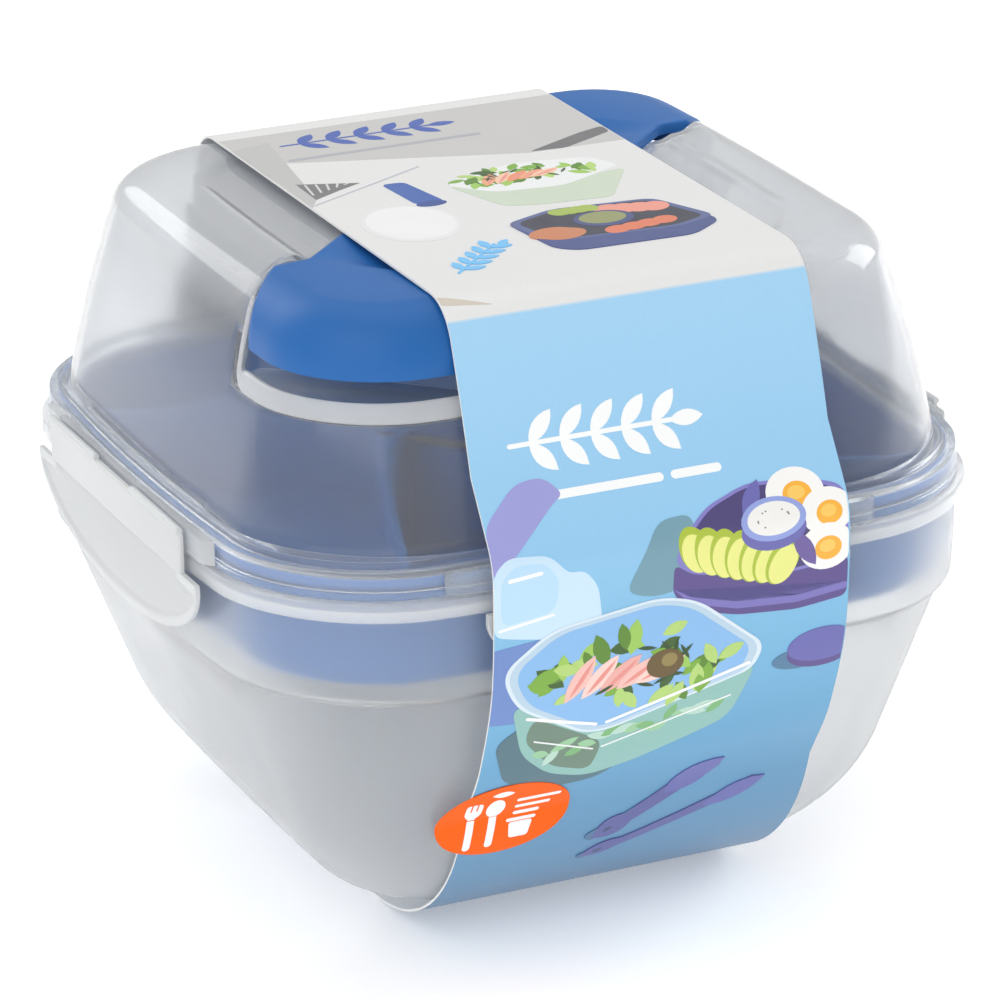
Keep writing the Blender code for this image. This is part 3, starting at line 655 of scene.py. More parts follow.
def build_lands():
    """The thick part of the skirt behind each latch, which its hinge grows from."""
    for turn, side in enumerate(SIDES):
        outer = rounded([(SKIRT_HALF - 1.5, LAND_HALF), (LAND_OUT, LAND_HALF - 3),
                         (LAND_OUT, 3 - LAND_HALF), (SKIRT_HALF - 1.5, -LAND_HALF)], 2.5, 4)
        inner = []
        for i in range(1, 12):
            y = LAND_HALF * (i / 6 - 1)
            inner.append(((SKIRT_HALF - 0.6) * (1 - RIM_BOW * (y / SKIRT_HALF) ** 2), y))
        spin = Matrix.Rotation(turn * pi / 2, 2)
        outline = [tuple(spin @ Vector(p)) for p in inner + outer]
        land = prism_object(f"hinge_land_{side}", outline, SKIRT_LIP_Z + 0.25, LID_FLANGE_Z - 0.4,
                            pale_lip if side in ("right", "left") else rim_frost)
        settle(land, bevel=0.3)
        install(land, "lid", "clear_plastic")


def dome_half(z):
    """Half width of the dome's outside at a height."""
    wall = dome_wall(0)
    for (w0, z0), (w1, z1) in zip(wall, wall[1:]):
        if z0 <= z <= z1:
            return w0 + (w1 - w0) * (z - z0) / (z1 - z0)
    return wall[-1][0]


def over_corner(side, v, half, corner_z, inward):
    """(x, y) on the near or far rounded corner of a dome section, at v across the diagonal.

    The section has this half width, and the dome's corner at the height corner_z.
    """
    radius, bow = dome_corner(corner_z)
    centre = sqrt(2) * (half - radius)
    round_end = radius - inward
    if abs(v) < round_end * sqrt(0.5):
        reach = centre + sqrt(round_end ** 2 - v ** 2)
    else:
        reach = sqrt(2) * (half - inward) - abs(v)
    x, y = diagonal(side * reach, v)
    return x * (1 - bow * (y / half) ** 2), y * (1 - bow * (x / half) ** 2)


def finer(path, step):
    """The same path with points no further apart than the step."""
    dense = [path[0]]
    for a, b in zip(path, path[1:]):
        count = max(1, ceil(dist(a, b) / step))
        dense += [tuple(p + (q - p) * i / count for p, q in zip(a, b)) for i in range(1, count + 1)]
    return dense


def build_pocket_lips():
    """Pale raised lip round the outer edge of each finger pocket under the cover's ends."""
    # (outward, share of the lip's half width) and (across, height)
    section = [(-1.3, -0.8), (0.1, -1.0), (0.45, -0.75), (0.45, 0.75), (0.1, 1.0), (-1.3, 0.8)]
    corners = [(-TROUGH_END_HALF, LIP_TOP_Z), (-LIP_HALF, LIP_Z + 6), (-LIP_HALF, LIP_Z),
               (LIP_HALF, LIP_Z), (LIP_HALF, LIP_Z + 6), (TROUGH_END_HALF, LIP_TOP_Z)]
    path = finer(rounded(corners, 4.0, 6), 1.5)
    for side, word in ((-1, "near"), (1, "far")):
        rings = []
        for i, (v, z) in enumerate(path):
            (v0, z0), (v1, z1) = path[max(i - 1, 0)], path[min(i + 1, len(path) - 1)]
            long = hypot(v1 - v0, z1 - z0)
            across, up = -(z1 - z0) / long, (v1 - v0) / long
            wide = LIP_THIN + (LIP_WIDE / 2 - LIP_THIN) * abs(up) ** 2
            ring = []
            for out, w in section:
                high = z + up * wide * w
                ring.append((*over_corner(side, v + across * wide * w, dome_half(high), high, -out),
                             high))
            rings.append(ring)
        lip = loft_object(f"pocket_lip_{word}", rings, pale_lip)
        settle(lip, bevel=0.2)
        install(lip, "lid", "clear_plastic")


def build_gasket():
    """Ring in the lid's channel, just above the tray's flange."""
    profile = rounded([(80.8, 95.4), (81.4, 94.2), (82.6, 94.2), (83.1, 95.2), (82.9, 96.6), (80.9, 96.6),
                       (80.8, 95.4)], 0.4)[:-1]
    ring = loft_object("seal_ring", [rim_ring(w, z) for w, z in profile], rubber, closed=True)
    install(ring, "lid", "blue_seal", "lid_gasket")


# ---------------------------------------------------------------- cutlery cover
def cover_point(station, v, depth):
    """Point at a depth under the cover's outer face.

    A station from -1 to 1 lies on the flat middle, as a share of its length. Past that, the
    hood turns down over the dome's rounded corner by 90 degrees within the next whole unit.
    """
    side = copysign(1, station)
    turn = max(abs(station) - 1, 0) * pi / 2
    if turn == 0:
        x, y = diagonal(station * COVER_FLAT, v)
        return (x, y, COVER_TOP_Z - depth)
    drop = (COVER_ROUND - depth) * (1 - cos(turn))
    inward = (COVER_ROUND - depth) * (1 - sin(turn)) + depth
    x, y = over_corner(side, v, COVER_WALL_HALF, COVER_TOP_Z - COVER_ROUND, inward)
    ease = turn / (pi / 2)
    return (x, y, COVER_TOP_Z - depth - drop - COVER_LIP * ease ** 3)


def cover_section(station):
    """Closed section across the cover: rounded outer face, skirts and inner face."""
    half = blend(COVER_MID_HALF, COVER_END_HALF, (abs(station) - 0.94) / 0.14)
    channel = COVER_CHANNEL * (1 - blend(0, 1, (abs(station) - 0.86) / 0.16))
    shares = [sin((2 * i / COVER_COLUMNS - 1) * pi / 2) for i in range(COVER_COLUMNS + 1)]
    inner = half - COVER_WALL
    soft = 0.5

    def face(s):
        edge = max(abs(s) * half - (half - soft), 0) / soft
        return channel * (1 - s * s) + soft * (1 - sqrt(max(1 - edge * edge, 0)))
    ring = [cover_point(station, -half, COVER_SKIRT)]
    ring += [cover_point(station, half * s, face(s)) for s in shares]
    ring += [cover_point(station, half, COVER_SKIRT), cover_point(station, inner, COVER_SKIRT)]
    ring += [cover_point(station, -inner * s, channel * (1 - s * s) + COVER_WALL) for s in shares]
    ring.append(cover_point(station, -inner, COVER_SKIRT))
    return ring


def build_cover():
    half = [0.0, 0.3, 0.6, 0.8, 0.84] + [0.86 + k * 0.01
                                         for k in range(14)] + [1 + k / 20 for k in range(1, 21)]
    stations = [-s for s in reversed(half[1:])] + half
    cover = loft_object("cutlery_cover_shell", [cover_section(s) for s in stations], deep_blue)
    install(cover, "cutlery_cover", "blue_plastic", "cutlery_cover")


# ---------------------------------------------------------------- cutlery
HANDLE = [(0.0, 2.6), (0.012, 4.6), (0.04, 6.0), (0.09, 6.6), (0.2, 6.2), (0.42, 4.6), (0.58, 4.2)]
BLADE = [(0.64, 5.4), (0.72, 6.8), (0.86, 7.0), (0.94, 6.0), (0.985, 3.6), (1.0, 1.2)]
FORK_HEAD = [(0.64, 5.2), (0.70, 7.0), (0.76, 8.0), (0.86, 8.2), (0.96, 7.9), (1.0, 7.0)]


def build_tool(name, widths, offset):
    """Flat tool with rounded edges, an oval hole and, for the fork, three slots."""
    right = [(TOOL_START + t * TOOL_LENGTH, w) for t, w in widths]
    plan = soft_outline(right + [(u, -w) for u, w in reversed(right)], 6.0, 4)
    outline = [diagonal(u, v + offset) for u, v in plan]
    tool = prism_object(name + "_body", outline, TOOL_Z, TOOL_Z + TOOL_THICK, deep_blue)
    hole = [diagonal(TOOL_START + 13 + 6.5 * cos(a), offset + 3.0 * sin(a)) for a in (2 * pi * i / 32
                                                                                      for i in range(32))]
    guides = [prism_object("hole_" + name, hole, TOOL_Z - 2, TOOL_Z + TOOL_THICK + 2)]
    tip = TOOL_START + TOOL_LENGTH
    for number in (-1, 0, 1) if name == "fork" else ():
        v = offset + number * 4.0
        slit = [diagonal(u, w) for u, w in ((tip - 30, v), (tip - 28, v + 0.8), (tip + 2, v + 1.15),
                                            (tip + 2, v - 1.15), (tip - 28, v - 0.8))]
        guides.append(prism_object(f"slot_{number}", slit, TOOL_Z - 1, TOOL_Z + TOOL_THICK + 1))
    for guide in guides:
        combine(tool, guide, "DIFFERENCE")
    settle(tool, *guides, bevel=0.35)
    install(tool, name, "blue_plastic", name)


# ---------------------------------------------------------------- latches
def tab_depth(drop, edge, lean):
    """How far the tab's outer face lies behind the plate, with a raised border round a dish."""
    dish = 0.62 * blend(0, 1, (edge - 1.9) / 1.3)
    return TAB_SET_BACK + lean * (drop / TAB_DROP) ** 1.2 + dish


def tab_reach(t):
    """Length of the tab below its top, at a place across it."""
    return 1.2 + TAB_DROP * sqrt(max(1 - (t / TAB_HALF) ** 2, 0.0))


def tab_edge(t, drop):
    """Distance from the tab's nearest edge; the plate hides the middle of its top."""
    above = 4.0 if abs(t) < PLATE_HALF - 3 else 0.0
    return max(min(tab_reach(t) - drop, (TAB_HALF - abs(t)) * 1.3, drop + above), 0)


def tab_rings(lean):
    """Rings round the tab of a latch on the +X side: down its outer face and up its back."""
    rings = []
    count = 72
    for i in range(count + 1):
        t = TAB_HALF * sin((2 * i / count - 1) * pi / 2) * 0.998
        reach = tab_reach(t)
        column, back = [], []
        for k in range(25):
            drop = reach * k / 24
            x = PLATE_OUT - tab_depth(drop, tab_edge(t, drop), lean)
            round_off = 0.35 * (1 - min(max(reach - drop, 0), 0.8) / 0.8) ** 2
            column.append((x - round_off, t, TAB_TOP_Z - drop))
            back.append((PLATE_OUT - 1.28 - lean * (drop / TAB_DROP) ** 1.2, t, TAB_TOP_Z - drop))
        rings.append(column + back[::-1])
    return rings


def build_latch(side, turn):
    """Latch with a dished tab. The front and back ones are narrower, and lean under the card."""
    bm = bmesh.new()
    under_card = side in ("front", "back")
    add_loft(bm, tab_rings(TAB_LEAN_UNDER_CARD if under_card else TAB_LEAN))
    # Faces inside the tab's raised border take the more see-through copy of the plastic: painted shade in
    # the dish.
    for face in bm.faces:
        middle = face.calc_center_median()
        face.material_index = 1 if tab_edge(middle.y, TAB_TOP_Z - middle.z) > TAB_BORDER else 0
    inner, axle = PLATE_OUT - PLATE_THICK, LATCH_OUT - KNUCKLE_SET_BACK
    # Plate with softened ends and a lower middle notch, then two raised hinge knuckles
    low, high = PLATE_LOW_Z - 0.4, HINGE_Z - 0.4
    section = rounded([(inner, low + 0.3), (PLATE_OUT - 0.4, low), (PLATE_OUT, low + 0.7),
                       (PLATE_OUT, high - 0.8), (PLATE_OUT - 0.2, high), (inner, high)], 0.3)
    ends = [(-PLATE_HALF, 0.45), (-PLATE_HALF + 0.25, 0.12), (-PLATE_HALF + 0.7, 0.0)]
    ends += [(-y, d) for y, d in reversed(ends)]
    add_loft(bm, [[(max(x - d, inner), y, z) for x, z in section] for y, d in ends])
    knuckle = circle_ring(KNUCKLE_RADIUS, 0, 24)
    for way in (-1, 1):
        a, b = sorted((way * NOTCH_HALF, way * (PLATE_HALF - 0.3)))
        stations = [(a, 0.75), (a + 0.3, 0.95), (a + 0.6, 1.0), (b - 0.6, 1.0), (b - 0.3, 0.95),
                    (b, 0.75)]
        add_loft(bm, [[(axle + x * share, y, HINGE_Z + z * share) for x, z, _ in knuckle]
                      for y, share in stations])
    if under_card:
        bmesh.ops.scale(bm, verts=bm.verts, vec=(1, UNDER_CARD_WIDTH, 1))
    bmesh.ops.rotate(bm, verts=bm.verts, matrix=Matrix.Rotation(turn * pi / 2, 3, "Z"))
    latch = make_object(f"latch_{side}_body", bm, milky, milky_dish_shade)
    install(latch, f"latch_{side}", "latch_plastic", f"latch_{side}")


# ---------------------------------------------------------------- sleeve
def sleeve_profile(offset):
    """Right half of the card band's section, top to bottom, (y, z), moved out by offset."""
    over = [(0.0, DOME_TOP_Z + SLEEVE_SLACK)]
    over += [(w, z) for w, z in reversed(dome_wall(-SLEEVE_SLACK)) if z > SLEEVE_LEAVES_Z]
    bottom = arc((BOTTOM_FLAT, BOWL_BASE_Z + BOTTOM_RADIUS), BOTTOM_RADIUS + 0.3, -17, -90, 20)
    side = rounded([over[-1]] + SLEEVE_SIDE + [bottom[0]], 4.0, 4)[1:-1]
    path = over + side + bottom + [(BOTTOM_FLAT - 1, CARD), (0.0, CARD)]
    out = []
    for i, (y, z) in enumerate(path):
        y0, z0 = path[max(i - 1, 0)]
        y1, z1 = path[min(i + 1, len(path) - 1)]
        length = hypot(y1 - y0, z1 - z0)
        out.append((y - (z1 - z0) / length * offset, z + (y1 - y0) / length * offset))
    return out


def band_points(offset):
    """Closed band section in order: over the +Y side, then back over the -Y side."""
    half = sleeve_profile(offset)
    return half + [(-y, z) for y, z in reversed(half[1:-1])]


def build_sleeve():
    bm = bmesh.new()
    inner, outer = band_points(0.02), band_points(CARD)
    columns = [-SLEEVE_HALF + 2 * SLEEVE_HALF * i / 10 for i in range(11)]
    rings = [[(x, y, z) for y, z in inner] for x in columns]
    rings += [[(x, y, z) for y, z in outer] for x in reversed(columns)]
    add_loft(bm, rings, closed=True)
    bm.faces.ensure_lookup_table()
    around = len(inner)
    for number, face in enumerate(bm.faces):
        band = number // around
        face.material_index = 1 if len(columns) <= band < 2 * len(columns) - 1 else 0
    sleeve = make_object("sleeve_band", bm, card_raw, card_print_and_shade)
    install(sleeve, "sleeve", "printed_card", "sleeve")


def front_line(offset):
    """The sleeve's outline from the middle of its bottom, up the front and over to the back."""
    half = sleeve_profile(offset)
    return [(-y, z) for y, z in reversed(half)] + half[1:]


class Surface:
    """Maps (across, length measured along the sleeve from under it) onto the sleeve's outside."""

    def __init__(self, base):
        self.low, self.high = front_line(CARD + base), front_line(CARD + base + 1.0)
        self.marks = [0.0]
        for (y0, z0), (y1, z1) in zip(self.low, self.low[1:]):
            self.marks.append(self.marks[-1] + hypot(y1 - y0, z1 - z0))

    def at(self, x, s, lift):
        i = max(k for k in range(len(self.marks) - 1) if self.marks[k] <= s or k == 0)
        t = (s - self.marks[i]) / (self.marks[i + 1] - self.marks[i])
        mix = [a + (b - a) * t for a, b in zip(self.low[i], self.low[i + 1])]
        out = [a + (b - a) * t for a, b in zip(self.high[i], self.high[i + 1])]
        return (x, mix[0] + (out[0] - mix[0]) * lift, mix[1] + (out[1] - mix[1]) * lift)


class Print:
    """Printed shapes laid over the sleeve, each a very thin solid with its own ink."""

    def __init__(self, base=0.0):
        self.bm, self.mats, self.layer, self.surface = bmesh.new(), [], 0, Surface(base)

    def add(self, outline, mat):
        """Add one flat shape, given as (across, length) points, in a material or a printed tone."""
        mat = ink(*mat) if isinstance(mat, tuple) else mat
        if mat not in self.mats:
            self.mats.append(mat)
        self.layer += 1
        lift = INK + 0.0016 * self.layer
        flat = bmesh.new()
        flat.faces.new([flat.verts.new((x, s, 0)) for x, s in outline])
        bmesh.ops.triangulate(flat, faces=flat.faces)
        low, high = min(s for _, s in outline), max(s for _, s in outline)
        for mark in self.surface.marks:
            if low < mark < high:
                bmesh.ops.bisect_plane(flat, geom=flat.verts[:] + flat.edges[:] + flat.faces[:],
                                       plane_co=(0, mark, 0), plane_no=(0, 1, 0))
        top = {v: self.bm.verts.new(self.surface.at(v.co.x, v.co.y, lift)) for v in flat.verts}
        base = {v: self.bm.verts.new(self.surface.at(v.co.x, v.co.y, 0.0)) for v in flat.verts}
        index = self.mats.index(mat)
        for face in flat.faces:
            self.bm.faces.new([top[v] for v in face.verts]).material_index = index
            self.bm.faces.new([base[v] for v in reversed(face.verts)]).material_index = index
        for edge in flat.edges:
            if edge.is_boundary:
                a, b = edge.verts
                self.bm.faces.new((top[a], top[b], base[b], base[a])).material_index = index
        flat.free()

    def finish(self, name, slot="printed_card"):
        install(make_object(name, self.bm, *self.mats), "sleeve", slot)


def ellipse(cx, cy, rx, ry, turn=0.0, steps=28):
    c, s = cos(radians(turn)), sin(radians(turn))
    return [(cx + rx * cos(a) * c - ry * sin(a) * s, cy + rx * cos(a) * s + ry * sin(a) * c)
            for a in (2 * pi * i / steps for i in range(steps))]


def leaf(cx, cy, length, width, turn, steps=7):
    """Pointed leaf, its middle at (cx, cy)."""
    half = [(length * (i / steps - 0.5), width / 2 * sin(pi * i / steps) ** 0.8)
            for i in range(steps + 1)]
    points = half + [(u, -v) for u, v in half[-2:0:-1]]
    c, s = cos(radians(turn)), sin(radians(turn))
    return [(cx + u * c - v * s, cy + u * s + v * c) for u, v in points]


def bar(x0, s0, x1, s1, thick):
    """Round-ended bar from one point to another."""
    run = Vector((x1 - x0, s1 - s0))
    turn = atan2(run.y, run.x)
    r, n = thick / 2, 6
    first = [(x1 + r * cos(turn - pi / 2 + pi * i / n), s1 + r * sin(turn - pi / 2 + pi * i / n))
             for i in range(n + 1)]
    return first + [(x0 + r * cos(turn + pi / 2 + pi * i / n), s0 + r * sin(turn + pi / 2 + pi * i / n))
                    for i in range(n + 1)]


def shrink(points, share):
    cx = sum(x for x, _ in points) / len(points)
    cy = sum(y for _, y in points) / len(points)
    return [(cx + (x - cx) * share, cy + (y - cy) * share) for x, y in points]


inks = {}


def ink(r, g, b):
    """Printed colour with a faint screen grain, made once for each colour."""
    if (r, g, b) not in inks:
        inks[(r, g, b)] = surface(f"ink_{r}_{g}_{b}", srgb(r, g, b), 0.42, 2600, 0.01, 0.05, 120.0,
                                  Coat_Weight=0.15, Coat_Roughness=0.25)
    return inks[(r, g, b)]


WHITE = (252, 253, 253)
PURPLE, PURPLE_DARK, PURPLE_LIGHT = (108, 106, 178), (94, 78, 142), (160, 160, 220)
GREENS = [(92, 138, 40), (126, 176, 58), (160, 204, 92), (60, 96, 34), (184, 216, 120)]


def sprig(put, x0, s0, x1, s1, size, tone):
    """Plain emblem: a stem with pairs of leaves."""
    put(bar(x0, s0, x1, s1, size * 0.12), tone)
    run = Vector((x1 - x0, s1 - s0))
    turn = degrees(atan2(run.y, run.x))
    for i in range(5):
        t = 0.12 + 0.19 * i
        px, ps = x0 + run.x * t, s0 + run.y * t
        for way in (-1, 1):
            angle = turn + way * 48
            dx, ds = cos(radians(angle)) * size * 0.5, sin(radians(angle)) * size * 0.5
            put(leaf(px + dx, ps + ds, size, size * 0.42, angle), tone)
    put(leaf(x1 + size * 0.4, s1, size * 0.9, size * 0.4, turn), tone)


def salad(put, cx, cy, rx, ry, turn, rng, meat):
    """Heap of leaves and slices inside an ellipse."""
    c, s = cos(radians(turn)), sin(radians(turn))
    for k in range(46):
        a, r = rng.uniform(0, 2 * pi), sqrt(rng.uniform(0, 1))
        u, v = rx * r * cos(a), ry * r * sin(a)
        size = rng.uniform(0.22, 0.42) * ry
        put(leaf(cx + u * c - v * s, cy + u * s + v * c, size * 2.2, size, rng.uniform(0, 180), 5),
            rng.choice(GREENS))
    for k in range(5):
        u = rx * (-0.55 + 0.2 * k)
        put(leaf(cx + u * c, cy + u * s - ry * 0.1, ry * 1.35, ry * 0.45, turn + 62 - 9 * k),
            meat[k % len(meat)])
        put(leaf(cx + u * c + 0.3, cy + u * s - ry * 0.1, ry * 1.1, ry * 0.12, turn + 62 - 9 * k),
            (236, 150, 140))
    for k in range(9):
        a = rng.uniform(0, 2 * pi)
        put(leaf(cx + rx * 0.55 * cos(a), cy + ry * 0.5 * sin(a), ry * 0.5, ry * 0.1, rng.uniform(0, 180),
                 4), (46, 78, 34))


def print_front():
    rng = random.Random(7)
    sheet = Print()
    put = sheet.add
    # Emblem and two plain bars
    sprig(put, -31, 177.6, 5, 177.6, 8.4, WHITE)
    put(bar(-31.5, 166.4, 0, 166.4, 1.9), WHITE)
    put(bar(3.5, 166.4, 13, 166.4, 1.9), WHITE)
    # Strip leaning behind, lid and its tray at the left edge
    put(soft_outline([(-40, 162), (-31.5, 170), (-25, 170.6), (-21.5, 166.4), (-24.5, 164.5),
                      (-40, 150.5)], 3), PURPLE_LIGHT)
    put([(-40, 118), (-40, 136), (-28, 137), (-24, 128), (-31, 117)], (112, 142, 205))
    put(soft_outline([(-40, 139), (-40, 152.5), (-36.5, 155.4), (-27.5, 154.6), (-23.5, 150.2),
                      (-20, 150.2), (-17, 146.5), (-16, 138), (-28, 136.5), (-36, 138)], 2.5),
        (206, 233, 252))
    put(soft_outline([(-38.5, 141), (-38.5, 151), (-35, 153.6), (-28.5, 153.2), (-25.4, 149),
                      (-26.6, 142.5)], 2.5), (190, 226, 251))
    put(bar(-36.5, 150.6, -29.5, 151.2, 0.8), WHITE)
    put(bar(-38.8, 140.2, -27, 141.8, 0.6), WHITE)
    # Shadow and divided tray
    put(soft_outline([(-11, 143.5), (-3, 157.5), (5, 158), (4, 143), (-4, 141.5)], 3), (118, 160, 176))
    body = soft_outline([(0, 148), (-0.4, 141.5), (4, 137), (14.5, 134.2), (28, 133), (39.6, 134.2),
                         (39.6, 143.5), (26, 141.5), (14.4, 143.4), (4, 145)], 2)
    put(body, PURPLE_DARK)
    put(soft_outline([(-0.3, 142.6), (4, 138.4), (14.5, 135.6), (28, 134.6), (39.6, 135.8), (39.6, 137.4),
                      (28, 136.2), (14.5, 137.2), (4, 140)], 0.8), (126, 118, 190))
    rim = soft_outline([(0, 148), (4, 145), (14.4, 143.2), (26, 141.6), (39.6, 142.6), (39.6, 158.5),
                        (30, 161.5), (18, 162), (8, 158.5), (2, 153)], 3)
    put(rim, (134, 128, 200))
    put(shrink(rim, 0.93), (76, 66, 120))
    for k in range(7):
        put(ellipse(4.8 + 3.3 * k, 150.2 - 0.95 * k, 3.4, 5.4, 24 - 9 * k), (176, 196, 60))
        put(ellipse(4.9 + 3.3 * k, 149.4 - 0.95 * k, 2.9, 4.5, 24 - 9 * k), (238, 240, 140))
    for x, s, r in ((28.5, 158.4, 6.6), (35, 153.6, 6), (34.6, 146, 6.2)):
        keep = [(min(px, 39.7), ps) for px, ps in ellipse(x, s, r, r * 0.82)]
        put(keep, (250, 249, 246))
        put(ellipse(x + 0.4, s - 0.4, r * 0.5, r * 0.42), (252, 182, 58))
        put(ellipse(x + 0.2, s, r * 0.3, r * 0.22), (254, 206, 98))
    put(leaf(18.5, 158.6, 9, 3.6, 58), PURPLE)
    put(leaf(29.6, 146.4, 9.6, 3.8, 122), (112, 94, 160))
    put(ellipse(22.6, 151.6, 7.4, 4.4), PURPLE)
    put(ellipse(22.7, 153.8, 7.4, 4.6), (150, 166, 226))
    put(ellipse(22.7, 153.9, 6, 3.5), (244, 243, 240))
    for k in range(9):
        a = rng.uniform(0, 2 * pi)
        put(ellipse(22.7 + 3.6 * cos(a), 153.9 + 1.9 * sin(a), 0.22, 0.18, 0, 6), (120, 120, 110))
    # Round cap lying flat
    put(ellipse(30, 120.6, 6.4, 2.6), (84, 126, 160))
    put([(min(x, 39.7), s) for x, s in ellipse(35, 122, 8.2, 4.4)], PURPLE_DARK)
    put([(min(x, 39.7), s) for x, s in ellipse(35, 123.4, 8.2, 4.2)], PURPLE)
    # Container of salad with its shadow
    put(soft_outline([(-38, 112), (-34, 100), (-22, 95), (-12, 95.5), (-6, 101), (-30, 118)], 3),
        (84, 118, 130))
    put(soft_outline([(-35.5, 122), (-31.5, 108), (-24, 100.5), (-14.5, 97), (-5, 99.5), (15.6, 107.8),
                      (20, 122), (-10, 118)], 3.5), (146, 194, 186))
    put(soft_outline([(-31.5, 112), (-24, 103), (-14.5, 99.2), (-13, 108), (-30, 118)], 3),
        (112, 138, 120))
    for k in range(16):
        put(leaf(-27 + 2.6 * k, 107.5 + 0.35 * k + rng.uniform(-2.4, 2.4), rng.uniform(4, 7), 2.2,
                 rng.uniform(-20, 60), 5), rng.choice([(126, 184, 120), (158, 206, 160),
                                                       (190, 222, 206)]))
    rim = soft_outline([(-38.6, 130.5), (-27.6, 138.4), (-3, 141.4), (5.5, 139.2), (21.2, 126.4),
                        (19.2, 120.4), (-12.5, 110.8), (-18, 111.2), (-34.5, 121.4)], 4.5, 8)
    put(rim, (222, 236, 246))
    put(shrink(rim, 0.965), (190, 214, 232))
    put(shrink(rim, 0.90), (140, 190, 238))
    salad(put, -8.2, 126, 22.5, 9, -3, rng, [(246, 196, 186), (250, 214, 204), (240, 178, 170)])
    put(ellipse(-1.5, 126, 4.2, 3.4), (104, 84, 40))
    put(ellipse(-0.6, 126.8, 1.8, 1.6), (150, 132, 74))
    put(bar(-31.5, 118.2, -15.5, 113.2, 0.8), WHITE)
    put(bar(-13, 113.2, 18, 122.2, 0.8), WHITE)
    put(bar(-29, 111.4, -15, 106, 0.35), WHITE)
    put(bar(-13, 106.2, 15, 114.2, 0.35), WHITE)
    # Knife and fork on the table
    for start, end, wide in (((-6.5, 76.4), (16.2, 91.6), 3.4), ((-7, 68.8), (27, 83.8), 2.4)):
        (xa, sa), (xb, sb) = start, end
        put(bar(xa - 2.5, sa - 0.8, xb - 2, sb - 1.6, wide * 0.8), (84, 122, 158))
        put(bar(xa, sa, xb, sb, wide), (98, 100, 160))
        turn = degrees(atan2(sb - sa, xb - xa))
        put(leaf(xa + 2.2, sa + 1.4, 11, wide * 1.7, turn), (98, 100, 160))
        put(leaf(xb - 4, sb - 2.2, 15, wide * 1.75, turn), (108, 110, 176))
        put(ellipse(xa + 1, sa + 0.7, 1.1, 0.6, turn, 12), (64, 84, 118))
    sheet.finish("sleeve_print_front")


def print_top():
    rng = random.Random(11)
    sheet = Print()
    put = sheet.add
    put(soft_outline([(-39.8, 208.2), (-39.8, 211), (-29, 206.6)], 0.6), (206, 198, 184))
    # Desk behind, laptop corner with keys, pencil
    put([(-39.8, 300), (-39.8, 330), (39.8, 330), (39.8, 291), (17, 291.5), (-33.4, 308.6)],
        (200, 199, 197))
    put([(-39.8, 276), (-39.8, 322), (-30.5, 324.5), (-36.6, 281.5)], (192, 192, 191))
    put([(-36.8, 293), (-24, 288), (-30, 285), (-37, 281)], (120, 120, 122))
    for k in range(5):
        put(bar(-36.2 + 2.2 * k, 284.4 + k, -35.2 + 2.2 * k, 291.6 - 0.7 * k, 0.5), (214, 214, 214))
    put(bar(-38.8, 277.6, -8.6, 293, 1.1), (196, 198, 202))
    put(bar(-38.6, 278.1, -8.8, 293.5, 0.4), (236, 238, 240))
    put(soft_outline([(17.5, 292), (33, 300), (39.6, 302.4), (39.6, 298), (26, 291.2)], 1.4),
        (112, 112, 114))
    # Emblem and bar
    sprig(put, -29, 320.4, 6, 320.4, 7.4, (66, 96, 178))
    put(bar(-31, 309.6, 13, 309.6, 1.5), (176, 178, 184))
    # Small blue strip, clear lid, container and tray
    put(soft_outline([(-20.6, 284.5), (-15.6, 284), (-13, 268), (-19.4, 268.5)], 1.6), (58, 98, 176))
    put(ellipse(-16.2, 267.6, 3.4, 1.8), (48, 78, 150))
    put(ellipse(-25.6, 256.5, 10.2, 12.5), (232, 232, 233))
    put(ellipse(-25.4, 257.2, 9.2, 11.4), (240, 240, 241))
    put(soft_outline([(-8.4, 277), (-3.5, 259), (4, 256.4), (20, 254.6), (31, 272), (14, 270)], 2.5),
        (206, 218, 198))
    rim = soft_outline([(-9, 278), (-1, 268.5), (14, 266.4), (31, 274.4), (27, 283), (10, 286)], 3)
    put(rim, (238, 240, 240))
    salad(put, 10, 277.4, 16, 6.6, -2, rng, [(242, 170, 130), (248, 202, 170), (240, 150, 110)])
    put(soft_outline([(-8, 246), (-6, 228), (-1.8, 224.4), (24, 223.4), (33, 230), (28, 246)], 3),
        (70, 84, 140))
    rim = soft_outline([(-8.4, 247), (-5, 232), (24, 229.4), (33.4, 233), (26.5, 249.5), (4, 252)], 3)
    put(rim, (92, 104, 152))
    put(shrink(rim, 0.9), (58, 60, 74))
    for k in range(4):
        put(ellipse(-2.6 + 0.8 * k, 237.2 - 0.6 * k, 5, 3.4, 12), (206, 132, 92))
        put(ellipse(15 + 3.2 * k, 246.6 - 0.8 * k, 3.4, 3, 30), (240, 158, 140))
        put(ellipse(4.8 + 2.2 * k, 249.2, 2.2, 2.4, 60), (168, 190, 84))
        put(ellipse(11 + 3.8 * k, 233.4 + 0.5 * k, 3, 2.4, 20), (226, 128, 96))
    put(ellipse(11.5, 241.4, 6.6, 5.2), (74, 84, 130))
    put(ellipse(11.5, 242, 5.2, 3.9), (150, 156, 104))
    # Plain leaf drawing in the corner
    sprig(put, -30, 222, -16, 236, 5, (120, 196, 246))
    sheet.finish("sleeve_print_top")


STICKER_X, STICKER_RISE, STICKER_WIDE, STICKER_TALL = -31.4, 88, 15.2, 11


